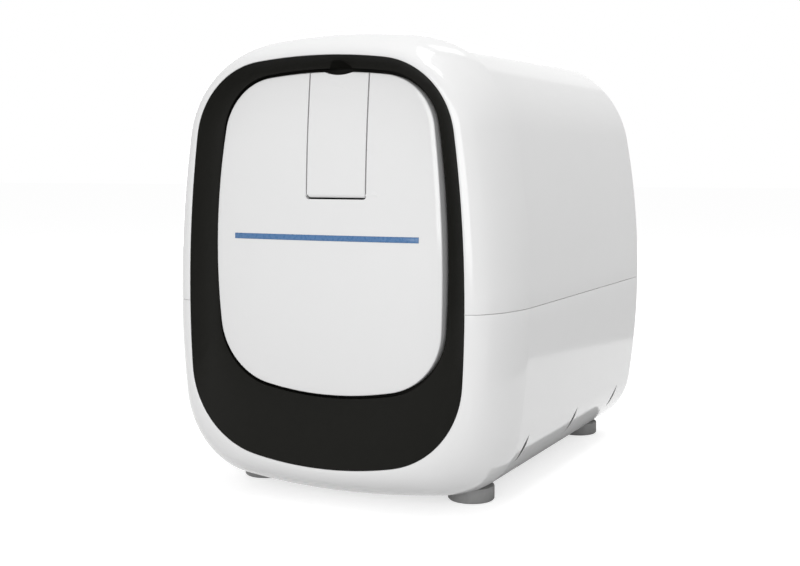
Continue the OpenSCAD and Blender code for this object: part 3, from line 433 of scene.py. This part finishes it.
def satin_white():
    mat = material("satin_white", (0.72, 0.72, 0.715), 0.42)
    vary_roughness(mat, noise(mat, 900, 4), 0.36, 0.50)
    bump(mat, noise(mat, 2600, 3), 0.02)
    return mat


def matt_black():
    mat = material("matt_black", (0.006, 0.006, 0.005), 0.6, Specular_IOR_Level=0.12)
    vary_roughness(mat, noise(mat, 700, 4), 0.54, 0.66)
    vary_colour(mat, noise(mat, 160, 3), (0.0046, 0.0045, 0.0034), (0.0062, 0.0061, 0.0048))
    bump(mat, noise(mat, 3200, 3), 0.018)
    return mat


def satin_black():
    mat = material("satin_black", (0.016, 0.016, 0.017), 0.38)
    vary_roughness(mat, noise(mat, 500, 4), 0.32, 0.46)
    bump(mat, noise(mat, 2400, 3), 0.015)
    return mat


def blue_bar():
    mat = material("blue_bar", (0.070, 0.180, 0.375), 0.28, IOR=1.49,
                   Subsurface_Weight=0.25)
    shader_of(mat).inputs["Subsurface Radius"].default_value = (0.001, 0.0015, 0.002)
    vary_colour(mat, noise(mat, 300, 3), (0.066, 0.172, 0.362), (0.074, 0.188, 0.388))
    vary_roughness(mat, noise(mat, 700, 3), 0.22, 0.34)
    return mat


def grey_rubber():
    mat = material("grey_rubber", (0.26, 0.26, 0.26), 0.72)
    vary_roughness(mat, noise(mat, 600, 5), 0.62, 0.82)
    vary_colour(mat, noise(mat, 400, 5), (0.235, 0.235, 0.235), (0.285, 0.285, 0.283))
    bump(mat, noise(mat, 2000, 4), 0.03)
    return mat


def plated_steel():
    mat = material("plated_steel", (0.60, 0.61, 0.62), 0.30, metallic=1.0)
    vary_roughness(mat, noise(mat, 500, 5), 0.22, 0.38)
    vary_colour(mat, noise(mat, 120, 4), (0.55, 0.555, 0.565), (0.65, 0.66, 0.67))
    return mat


def brushed_steel():
    mat = material("brushed_steel", (0.60, 0.61, 0.63), 0.34, metallic=1.0)
    grain = noise(mat, 260, 6, (1, 30, 1))
    vary_roughness(mat, grain, 0.26, 0.42)
    bump(mat, grain, 0.006)
    return mat


def clear_anodised():
    mat = material("clear_anodised", (0.70, 0.705, 0.72), 0.36, metallic=1.0)
    vary_roughness(mat, noise(mat, 1400, 5), 0.30, 0.44)
    bump(mat, noise(mat, 3000, 4), 0.006)
    return mat


def black_anodised():
    mat = material("black_anodised", (0.028, 0.028, 0.031), 0.36, metallic=0.55)
    vary_roughness(mat, noise(mat, 1200, 5), 0.30, 0.46)
    bump(mat, noise(mat, 3000, 4), 0.008)
    return mat


def satin_chrome():
    mat = material("satin_chrome", (0.72, 0.72, 0.73), 0.16, metallic=1.0)
    vary_roughness(mat, noise(mat, 900, 5, (1, 1, 9)), 0.11, 0.22)
    return mat


def turned_brass():
    mat = material("turned_brass", (0.75, 0.56, 0.26), 0.26, metallic=1.0)
    vary_roughness(mat, noise(mat, 900, 5, (1, 1, 12)), 0.20, 0.34)
    return mat


def green_board():
    mat = material("green_board", (0.012, 0.11, 0.045), 0.35)
    vary_colour(mat, noise(mat, 420, 2), (0.010, 0.095, 0.038), (0.016, 0.13, 0.055))
    vary_roughness(mat, noise(mat, 800, 4), 0.28, 0.42)
    return mat


# ---------------------------------------------------------------- housing shells

def rim_at(a):
    """Share of the way out to the housing's outline, and depth, at an angle of the rim."""
    end = math.radians(RIM_END)
    return (math.sin(a) / math.sin(end),
            FRONT_Y + RIM_DEPTH * (1 - math.cos(a)) / (1 - math.cos(end)))


RIM_STEPS = 34
CREASE_STEPS = 6
SIDE_STEPS = 6
ROUND_STEPS = 12
BY_AN_EDGE = (0.8, 3, 12)     # rings that keep the shading of the long sides flat


def rim_profile():
    """Rim from its front edge to a soft crease where the straight sides begin."""
    end = math.radians(RIM_END)
    last, back = end, 0.001
    while RIM_DEPTH + FRONT_Y - rim_at(last)[1] < CREASE:
        last -= back
    rim = [rim_at(last * i / RIM_STEPS) for i in range(RIM_STEPS + 1)]
    p0, p1, p2 = rim[-1], rim_at(end), (1, FRONT_Y + RIM_DEPTH + CREASE)
    for i in range(1, CREASE_STEPS + 1):
        t = i / CREASE_STEPS
        rim.append(tuple((1 - t) ** 2 * a + 2 * t * (1 - t) * b + t * t * c
                         for a, b, c in zip(p0, p1, p2)))
    return rim


def seamed(points, up, depth):
    """Half outline with its two ends drawn in, so that the shells meet in a fine groove."""
    bend_in, bend_up = 0.12, 0.45     # shares of the depth and of the chamfer
    out = list(points)
    for i, side in ((0, up), (-1, -up)):
        x, z = out[i]
        near = (x - side * depth * bend_in, SEAM_Z + up * (SEAM_GAP + SEAM_CHAMFER * bend_up))
        edge = (x - side * depth, SEAM_Z + up * SEAM_GAP)
        start = (x, SEAM_Z + up * (SEAM_GAP + SEAM_CHAMFER))
        added = [edge, near, start]
        out = added + out[1:] if i == 0 else out[:-1] + added[::-1]
    return out


def shell_rings(up):
    """Rings of the upper (up 1) or lower (up -1) shell, along its outside and back inside."""
    def outer(shape):
        return seamed(half_outline(shape, up), up, SEAM_GROOVE)

    def inner(shape):
        return seamed(half_outline(shape, up), up, 0.0)

    bezel, edge = outer(BEZEL), outer(inset(BEZEL, -FRONT_EDGE_R))
    body = outer(BODY)
    rings = [at_y(bezel, FRONT_Y + WALL), at_y(bezel, FRONT_Y + FRONT_EDGE_R)]
    for a in (math.radians(30), math.radians(60)):
        rings.append(at_y(outer(inset(BEZEL, -FRONT_EDGE_R * (1 - math.cos(a)))),
                          FRONT_Y + FRONT_EDGE_R * (1 - math.sin(a))))
    rings += [at_y(blend(edge, body, s), y) for s, y in rim_profile()]
    side_start, side_end = FRONT_Y + RIM_DEPTH + CREASE, REAR_Y - REAR_ROUND
    rings += [at_y(body, side_start + d) for d in BY_AN_EDGE]
    rings += [at_y(body, side_start + (side_end - side_start) * i / SIDE_STEPS)
              for i in range(1, SIDE_STEPS)]
    rings += [at_y(body, side_end - d) for d in BY_AN_EDGE[::-1]]
    for i in range(ROUND_STEPS + 1):
        a = math.pi / 2 * i / ROUND_STEPS
        rings.append(at_y(outer(inset(BODY, REAR_ROUND * (1 - math.cos(a)))),
                          REAR_Y - REAR_ROUND * (1 - math.sin(a))))
    lip, inside = inner(inset(BODY, LIP_INSET)), inner(inset(BODY, WALL))
    rings += [at_y(lip, REAR_Y), at_y(lip, REAR_Y - LIP_DEPTH),
              at_y(inside, REAR_Y - LIP_DEPTH)]
    land = inner(inset(BEZEL, -LAND_W))
    for i in range(ROUND_STEPS, -1, -1):
        s, y = rim_at(math.radians(RIM_END) * i / ROUND_STEPS)
        rings.append(at_y(blend(land, inside, s),
                          FRONT_Y + WALL + (y - FRONT_Y) * (RIM_DEPTH - WALL) / RIM_DEPTH))
    return rings


def inside_wall(obj):
    """Keeps what stands inside the shells within the middle of their wall."""
    limit = prism("limit", full_outline(inset(BODY, WALL / 2)),
                  FRONT_Y + RIM_DEPTH / 2, REAR_Y - LIP_DEPTH - REAR_ROOM)
    return combine(obj, [limit], "INTERSECT")


def column(z0, z1, side, y):
    """A screw post with a web that ties it to the side wall."""
    post = upright("post", COLUMN_R, side * COLUMN_X, y, z0, z1)
    web = block("web", sorted((side * COLUMN_X, side * BODY[0])),
                (y - WEB_W / 2, y + WEB_W / 2), (z0, z1))
    return inside_wall(combine(post, [web], "UNION"))


def upper_shell():
    shell = skin("upper_housing", shell_rings(1))
    for side in (-1, 1):
        for y in COLUMN_YS:
            combine(shell, [column(SEAM_Z + COLUMN_GAP, COLUMN_TOP, side, y)], "UNION")
            combine(shell, [upright("bore", SHELL_BORE_R, side * COLUMN_X, y,
                                    SEAM_Z - 3, COLUMN_TOP - 3)], "DIFFERENCE")
    return shell


def lens(half_w, half_l, steps=24):
    """Closed outline of two equal arcs that meet in points at the ends of its length."""
    r = (half_l ** 2 + half_w ** 2) / (2 * half_w)
    reach = math.asin(half_l / r)
    points = []
    for flip in (1, -1):
        for i in range(steps):
            a = reach * (1 - 2 * i / steps) * flip
            points.append((flip * (r * math.cos(a) - (r - half_w)), r * math.sin(a)))
    return points


def slit_cutter(shell, side, y):
    """A lens-shaped slot through the wall, leaning back, flared on the inside to a thin lip."""
    points = lens(SLIT_HALF_W, SLIT_HALF_L)
    turn = math.radians(-SLIT_LEAN)
    past, flared, inside = -2, 4.5, 9     # depths of the rings, from the wall's outside
    start_x, end_share = 0.15, 0.2        # where rays start, in m, and the flare of the ends

    def place(u, v):
        return (y + u * math.cos(turn) - v * math.sin(turn),
                SLIT_Z + u * math.sin(turn) + v * math.cos(turn))

    tree = BVHTree.FromPolygons([v.co for v in shell.data.vertices],
                                [tuple(f.vertices) for f in shell.data.polygons])
    verts, n = [], len(points)
    for depth, wider in ((past, 0), (SLIT_LIP, 0), (flared, SLIT_FLARE), (inside, SLIT_FLARE)):
        for u, v in points:
            py, pz = place(u, v)
            wall = tree.ray_cast((side * start_x, py * MM, pz * MM), (-side, 0, 0))[0]
            wy, wz = place(u * (1 + wider / SLIT_HALF_W),
                           v * (1 + end_share * wider / SLIT_HALF_L))
            verts.append((wall.x / MM - side * depth, wy, wz))
    faces = band(n, 0, n) + band(n, n, 2 * n) + band(n, 2 * n, 3 * n)
    for a in (0, 3 * n):
        verts.append([sum(c) / n for c in zip(*verts[a:a + n])])
        faces += fan(n, a, len(verts) - 1)
    return outward(new_object("slit", verts, faces))


def lower_shell():
    """Its cutters run past it at the ends that show no named level."""
    shell = skin("lower_housing", shell_rings(-1))
    for side in (-1, 1):
        x = side * COLUMN_X
        for y in COLUMN_YS:
            combine(shell, [column(FOOT_H, SEAM_Z - COLUMN_GAP, side, y)], "UNION")
            combine(shell, [upright("seat", SCREW_SEAT_R, x, y, -11.5, SCREW_SEAT_TOP),
                            upright("bore", SHELL_HOLE_R, x, y, 10, 110)], "DIFFERENCE")
        x = side * FOOT_X
        for y in FOOT_YS:
            pad = upright("pad", FOOT_R + PAD_WALL, x, y, 0, PAD_TOP)
            combine(shell, [inside_wall(pad)], "UNION")
            combine(shell, [upright("recess", FOOT_R + FOOT_FIT, x, y, -2, FOOT_H),
                            upright("bore", FOOT_BORE_R, x, y, -5, 25)], "DIFFERENCE")
        for y in SLIT_YS:
            combine(shell, [slit_cutter(shell, side, FRONT_Y + y)], "DIFFERENCE")
    return shell


# ---------------------------------------------------------------- bezel

def dome_y(x, z, depth=0):
    """Place along Y of the panel's domed face, or of the sphere at a depth behind it."""
    return (FRONT_Y + DOME_SET + DOME_R
            - math.sqrt((DOME_R - depth) ** 2 - x * x - (z - DOME_Z) ** 2))


HINGE_Z = DOOR_SILL + DOOR_GAP + BARREL_R
HINGE_Y = dome_y(DOOR_X + DOOR_W / 2, HINGE_Z) + BARREL_R + BARREL_SET


def dish_at(t):
    """Place along Y of the bezel's face at share t of the way in to the panel's gutter."""
    return FRONT_Y + DISH_DEPTH * (1 - (1 - t) ** DISH_CURVE)


def bezel():
    """The dished ring with its floor, flange, scoop cup and the posts of the lamp board."""
    outer = full_outline(inset(BEZEL, BEZEL_FIT))
    gutter = full_outline(inset(PANEL, -PANEL_GAP))
    flange_back = FRONT_Y + WALL + BEZEL_WALL
    back = FLOOR_Y + BEZEL_WALL
    dish_back, cup_back = back - 0.2, back - 0.3     # not in one plane with the floor's back
    shares = [i / DISH_STEPS for i in range(DISH_STEPS + 1)]
    front = [at_y(blend(outer, gutter, t), dish_at(t)) for t in shares]
    behind = [at_y(blend(outer, gutter, t), dish_at(t) + SUNK) for t in shares]
    obj = skin("bezel", [at_y(outer, flange_back)]
               + [at_y(blend(outer, gutter, t), dish_at(t) + BEZEL_WALL) for t in (0.3, 0.6)]
               + [at_y(blend(outer, gutter, 0.8), dish_back), at_y(gutter, dish_back)]
               + front[::-1], closed=True)
    floor = prism("floor", full_outline(inset(PANEL, -PANEL_GAP - FLOOR_LAP)), FLOOR_Y, back)
    flange = prism("flange", full_outline(inset(BEZEL, -LAND_W + LAND_FIT)), FRONT_Y + WALL,
                   flange_back)
    combine(flange, [prism("hole", full_outline(inset(BEZEL, FLANGE_LAP)), FRONT_Y, FLOOR_Y)],
            "DIFFERENCE")
    cup = skin("cup", behind + [at_y(gutter, cup_back), at_y(outer, cup_back)], closed=True)
    combine(cup, [ball("ball", SCOOP_CENTRE, SCOOP_R + BEZEL_WALL)], "INTERSECT")
    let_in = 0.5
    posts = [rod("post", "y", BAR_POST_R,
                 (x, (BAR_BOARD_Y + BOARD_T + FLOOR_Y + let_in) / 2, BAR_Z),
                 FLOOR_Y + let_in - BAR_BOARD_Y - BOARD_T) for x in (-BAR_POST_X, BAR_POST_X)]
    combine(obj, [floor, flange, cup, *posts], "UNION")
    combine(obj, [ball("scoop", SCOOP_CENTRE, SCOOP_R),
                  block("bay", (DOOR_X - BAY_W / 2, DOOR_X + BAY_W / 2),
                        (FLOOR_Y - 1, back + 1), (HINGE_Z + BARREL_R + 1, BAY_TOP))],
            "DIFFERENCE")
    combine(obj, [rod("hole", "y", PANEL_HOLE_R, (x, FLOOR_Y + 1, z), 6)
                  for x, z in PANEL_POSTS], "DIFFERENCE")
    return obj


# ---------------------------------------------------------------- front panel and door

DOME_STEPS = 24


def dome_rings(d, depth, edge_r, y_end):
    """Rings of a domed face, from its back edge y_end over a rounded edge to its middle."""
    def on_dome(points, drop=0.0):
        return [(x, dome_y(x, z, depth) + drop, z) for x, z in points]

    rings = [at_y(full_outline(inset(PANEL, d)), y_end)]
    for a in (0, 22.5, 45, 67.5, 90):
        c, s = math.cos(math.radians(a)), math.sin(math.radians(a))
        rings.append(on_dome(full_outline(inset(PANEL, d + edge_r * (1 - c))),
                             edge_r * (1 - s)))
    shoulder = 3
    inner = full_outline(inset(PANEL, d + shoulder))
    rings.append(on_dome(inner))
    middle = [(0, DOME_Z)] * len(inner)
    for i in range(1, DOME_STEPS):
        rings.append(on_dome(blend(inner, middle, i / DOME_STEPS)))
    return rings


def domed_block(name, d, depth, edge_r, y_end):
    """A domed face with side walls, closed at y_end."""
    rings = dome_rings(d, depth, edge_r, y_end)
    m, n = len(rings), len(rings[0])
    verts = [p for ring in rings for p in ring] + [(0, dome_y(0, DOME_Z, depth), DOME_Z)]
    faces = [face for j in range(m - 1) for face in band(n, j * n, (j + 1) * n)]
    faces += fan(n, (m - 1) * n, m * n) + [list(range(n))]
    return outward(new_object(name, verts, faces))


def door_outline(grow):
    """The doorway's U, let out by grow and carried up past the panel's top."""
    half, r = DOOR_W / 2 + grow, DOOR_CORNER + grow
    low = DOOR_SILL - grow
    high = low + 99
    steps, points = 10, []
    for side, start in ((-1, 180), (1, 270)):
        centre = (DOOR_X + side * (half - r), low + r)
        points += [on_arc(centre, r, math.radians(start + 90 * i / steps))
                   for i in range(steps + 1)]
    return points + [(DOOR_X + half, high), (DOOR_X - half, high)]


def front_panel():
    """The domed panel with doorway, slot for the light bar, hinge lugs and screw posts."""
    panel = domed_block("panel", 0, 0, PANEL_EDGE_R, FLOOR_Y)
    hollow = domed_block("hollow", PANEL_WALL, PANEL_WALL, HOLLOW_EDGE_R, FLOOR_Y + 1)
    combine(panel, [hollow,
                    prism("doorway", door_outline(0), FRONT_Y - 2, FLOOR_Y + 2),
                    block("slot", (-BAR_LEN / 2, BAR_LEN / 2), (FRONT_Y - 2, FLOOR_Y - 3),
                          (BAR_Z - BAR_H / 2, BAR_Z + BAR_H / 2))], "DIFFERENCE")
    for side in (-1, 1):
        x = DOOR_X + side * (DOOR_W / 2 + LUG_W / 2)
        face = dome_y(x, HINGE_Z) + SUNK
        combine(panel, [rod("boss", "x", BARREL_R, (x, HINGE_Y, HINGE_Z), LUG_W),
                        block("lug", (x - LUG_W / 2, x + LUG_W / 2), (face, HINGE_Y),
                              (HINGE_Z - BARREL_R, HINGE_Z + BARREL_R))], "UNION")
    for x, z in PANEL_POSTS:
        face = dome_y(x, z) + SUNK
        combine(panel, [rod("post", "y", PANEL_POST_R, (x, (face + FLOOR_Y) / 2, z),
                            FLOOR_Y - face)], "UNION")
        combine(panel, [rod("bore", "y", PANEL_BORE_R, (x, FLOOR_Y - 3, z), 8)], "DIFFERENCE")
    return combine(panel, [rod("pin", "x", PIN_R, (DOOR_X, HINGE_Y, HINGE_Z), PIN_LEN)],
                   "DIFFERENCE")


def loading_door():
    """The flap of the panel's own dome, with its notch, hinge barrel and keeper seat."""
    door = domed_block("door", 0, 0, PANEL_EDGE_R, DOOR_BACK_Y)
    combine(door, [domed_block("hollow", PANEL_WALL, PANEL_WALL, HOLLOW_EDGE_R, FLOOR_Y + 1),
                   block("below", (-99, 99), (FRONT_Y - 1, FLOOR_Y + 1), (0, HINGE_Z))],
            "DIFFERENCE")
    seat_back = dome_y(DOOR_X, KEEPER_Z) + PANEL_WALL + KEEPER_SEAT_RISE
    combine(door, [rod("seat", "y", KEEPER_SEAT_R,
                       (DOOR_X, seat_back - KEEPER_SEAT_T / 2, KEEPER_Z), KEEPER_SEAT_T)],
            "UNION")
    combine(door, [prism("cut", door_outline(-DOOR_GAP), FRONT_Y - 2, FLOOR_Y)], "INTERSECT")
    combine(door, [hinge_barrel()], "UNION")
    combine(door, [rod("notch", "y", NOTCH_R,
                       (DOOR_X, FRONT_Y + 5, PANEL[1] - NOTCH_DEPTH + NOTCH_R), 20,
                       segments=256),
                   rod("pocket", "y", KEEPER_R, (DOOR_X, seat_back, KEEPER_Z), 2 * KEEPER_T),
                   rod("pin", "x", PIN_R + PIN_FIT, (DOOR_X, HINGE_Y, HINGE_Z), DOOR_W)],
            "DIFFERENCE")
    return door


def hinge_barrel():
    """The door's barrel, with rounded ends that turn inside the doorway's corners."""
    half, end_r = DOOR_W / 2 - DOOR_GAP, DOOR_CORNER - DOOR_GAP
    around, steps = 48, 6
    profile = [(half - end_r * (1 - math.sin(a)), BARREL_R - end_r * (1 - math.cos(a)))
               for a in (math.radians(90 * i / steps) for i in range(steps + 1))]
    profile = [(-x, r) for x, r in profile[::-1]] + profile
    rings = [[(DOOR_X + x, HINGE_Y + r * math.cos(t), HINGE_Z + r * math.sin(t))
              for t in (2 * math.pi * i / around for i in range(around))] for x, r in profile]
    verts = [p for ring in rings for p in ring]
    m = len(rings)
    faces = [face for j in range(m - 1) for face in band(around, j * around, (j + 1) * around)]
    faces += [list(range(around)), list(range(m * around - 1, (m - 1) * around - 1, -1))]
    return outward(new_object("barrel", verts, faces))


# ---------------------------------------------------------------- dressing

def stand_for(obj, node, body, mat):
    """Puts obj in the place of a CAD node."""
    obj.data.materials.clear()
    obj.data.materials.append(mat)
    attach(obj, body)
    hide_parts(node)


def dress(node, mat, width):
    """Gives a CAD node its material and, where width isn't 0, a small radius on its edges."""
    obj = frame["nodes"][node]
    if not obj.material_slots:
        obj.data.materials.append(mat)
    for s in obj.material_slots:
        s.link = "OBJECT"
        s.material = mat
    weld = obj.modifiers.new("weld", "WELD")
    weld.merge_threshold = 1e-6
    if width:
        soften(obj, width)


def dress_all():
    white, satin, black = gloss_white(), satin_white(), matt_black()
    steel, clear, dark = plated_steel(), clear_anodised(), black_anodised()
    plastic, board = satin_black(), green_board()
    stand_for(smooth(upper_shell()), "upper_shell", "instrument", white)
    stand_for(smooth(lower_shell()), "lower_shell", "instrument", white)
    stand_for(smooth(bezel()), "front_bezel", "instrument", black)
    stand_for(smooth(front_panel()), "front_panel", "instrument", white)
    stand_for(smooth(loading_door()), "loading_door", "door", white)
    dress("light_bar", blue_bar(), 0.15)
    dress("rear_panel", satin, 0.2)
    rubber = grey_rubber()
    for node in ("front_left_foot", "front_right_foot", "rear_left_foot", "rear_right_foot"):
        dress(node, rubber, 0.5)
    for node in ("foot_screws", "shell_screws", "panel_screws", "rear_panel_screws",
                 "fan_screws", "door_keeper", "network_socket", "usb_sockets"):
        dress(node, steel, 0.12)
    dress("guide_rods", satin_chrome(), 0.1)
    for node in ("tray_screw", "focus_screw", "door_hinge_pin", "slide_clip"):
        dress(node, steel, 0.1)
    dress("chassis", brushed_steel(), 0.2)
    dress("focus_rail", steel, 0.1)
    for node in ("deck_posts", "stage_deck", "optics_plate", "lamp_arm", "led_heatsink",
                 "slide_tray", "focus_carriage"):
        dress(node, clear, 0.25)
    for node in ("front_rod_block", "rear_rod_block", "filter_cube", "tube_lens", "camera",
                 "led_tube", "lamp_head", "tray_motor", "focus_motor"):
        dress(node, dark, 0.3)
    dress("objective", satin_chrome(), 0.25)
    dress("door_magnet", steel, 0.15)
    dress("board_standoffs", turned_brass(), 0.1)
    for node in ("main_board", "light_bar_board"):
        dress(node, board, 0)
    for node in ("bay_hood", "power_inlet", "power_switch", "power_rocker", "fan_frame",
                 "fan_rotor"):
        dress(node, plastic, 0.3)


# ---------------------------------------------------------------- camera, light, floor

def camera():
    place = (310.69, -684.63, 175.96)
    heading, dip, roll = 25.508, 5.2146, 0.061      # degrees
    focal_px, image_w, sensor = 1240, 800, 36       # the sensor's width in mm
    data = bpy.data.cameras.new("camera")
    data.sensor_width, data.lens = sensor, focal_px * sensor / image_w
    data.clip_start, data.clip_end = 0.01, 30
    cam = bpy.data.objects.new("camera", data)
    cam.matrix_world = (Matrix.Translation(Vector(place) * MM)
                        @ Matrix.Rotation(math.radians(heading), 4, "Z")
                        @ Matrix.Rotation(math.radians(90 - dip), 4, "X")
                        @ Matrix.Rotation(math.radians(roll), 4, "Z"))
    bpy.context.scene.collection.objects.link(cam)
    bpy.context.scene.camera = cam


WORLD_LEVEL = 0.56    # what lights the object; what is seen of the world stays white
FLOOR_HALF = 12       # m
FLOOR_GREY = 0.58
FLOOR_GLOW = 0.66     # seen by the camera and in reflections only


def area_light(name, place, target, size, power):
    """A soft box; place, target and size in metres, power in watts."""
    data = bpy.data.lights.new(name, "AREA")
    data.shape, data.size, data.size_y = "RECTANGLE", *size
    data.energy = power
    obj = bpy.data.objects.new(name, data)
    obj.location = place
    aim = Vector(target) - Vector(place)
    obj.rotation_euler = aim.to_track_quat("-Z", "Y").to_euler()
    bpy.context.scene.collection.objects.link(obj)


def lights():
    area_light("key", (0.5, -2.15, 0.5), (0, 0, 0.12), (1.8, 1.2), 24)
    area_light("strip", (0.3, 0.13, 1.35), (0.05, 0.05, 0.2), (1.2, 0.42), 6.6)
    area_light("back", (0.2, 1.15, 1.25), (0, 0, 0.15), (0.7, 0.4), 1.0)
    area_light("rear", (-1.2, 1.7, 0.5), (0, 0.1, 0.12), (1.6, 1.0), 13)


def white_to_eyes(nodes, links, dim):
    """1 for camera, glossy and transmission rays, dim for the others."""
    path = nodes.new("ShaderNodeLightPath")
    seen = path.outputs["Is Camera Ray"]
    for ray in ("Is Transmission Ray", "Is Glossy Ray"):
        either = nodes.new("ShaderNodeMath")
        either.operation = "MAXIMUM"
        links.new(seen, either.inputs[0])
        links.new(path.outputs[ray], either.inputs[1])
        seen = either.outputs[0]
    span = nodes.new("ShaderNodeMapRange")
    span.inputs["To Min"].default_value = dim
    links.new(seen, span.inputs["Value"])
    return span.outputs["Result"]


def world():
    scene = bpy.context.scene
    scene.world = bpy.data.worlds.new("world")
    scene.world.use_nodes = True
    nodes, links = scene.world.node_tree.nodes, scene.world.node_tree.links
    back = nodes["Background"]
    back.inputs["Color"].default_value = (1, 1, 1, 1)
    links.new(white_to_eyes(nodes, links, WORLD_LEVEL), back.inputs["Strength"])


def floor():
    bm = bmesh.new()
    bmesh.ops.create_grid(bm, x_segments=1, y_segments=1, size=FLOOR_HALF)
    obj = from_bmesh("floor", bm)
    mat = material("floor", (FLOOR_GREY, FLOOR_GREY, FLOOR_GREY), 0.9, Specular_IOR_Level=0.0)
    nodes, links = mat.node_tree.nodes, mat.node_tree.links
    shader_of(mat).inputs["Emission Color"].default_value = (1, 1, 1, 1)
    share = nodes.new("ShaderNodeMath")
    share.operation = "MULTIPLY"
    share.inputs[1].default_value = FLOOR_GLOW
    links.new(white_to_eyes(nodes, links, 0.0), share.inputs[0])
    links.new(share.outputs[0], shader_of(mat).inputs["Emission Strength"])
    obj.data.materials.append(mat)


def painted_reflection_card(name, corners, grey):
    """An even grey card that glows and only shows in reflections: a painted reflection, which
    lights nothing and casts no shadow.
    """
    obj = new_object(name, corners, [(0, 1, 2, 3)])
    mat = material(name, (0, 0, 0), 1.0, Specular_IOR_Level=0.0)
    shader_of(mat).inputs["Emission Color"].default_value = (1, 1, 1, 1)
    shader_of(mat).inputs["Emission Strength"].default_value = grey
    obj.data.materials.append(mat)
    obj.visible_camera = False
    obj.visible_shadow = False
    obj.visible_diffuse = False


def painted_reflection_cards():
    """Painted reflections: a dark card under the instrument, which paints the shade of the
    floor beneath it into the reflections of its underside, and a pale one beside it on the
    right, which paints a reflection on its right side.
    """
    # painted shade: a dark glowing card in place of the shaded floor under the instrument, seen
    # only in its reflections
    painted_reflection_card("painted_shade_under", [(-60, -85, 0.4), (98, -85, 0.4), (98, 140, 0.4), (-60, 140, 0.4)],
         grey=0.2)
    # painted reflection: a pale glowing card beside the right side, seen only in its
    # reflections
    painted_reflection_card("painted_reflection_beside", [(355, -100, 0), (25, 1000, 0), (25, 1000, 1600), (355, -100, 1600)],
         grey=0.78)


camera()
dress_all()
floor()
world()
lights()
painted_reflection_cards()
bpy.context.scene.view_settings.view_transform = "Standard"
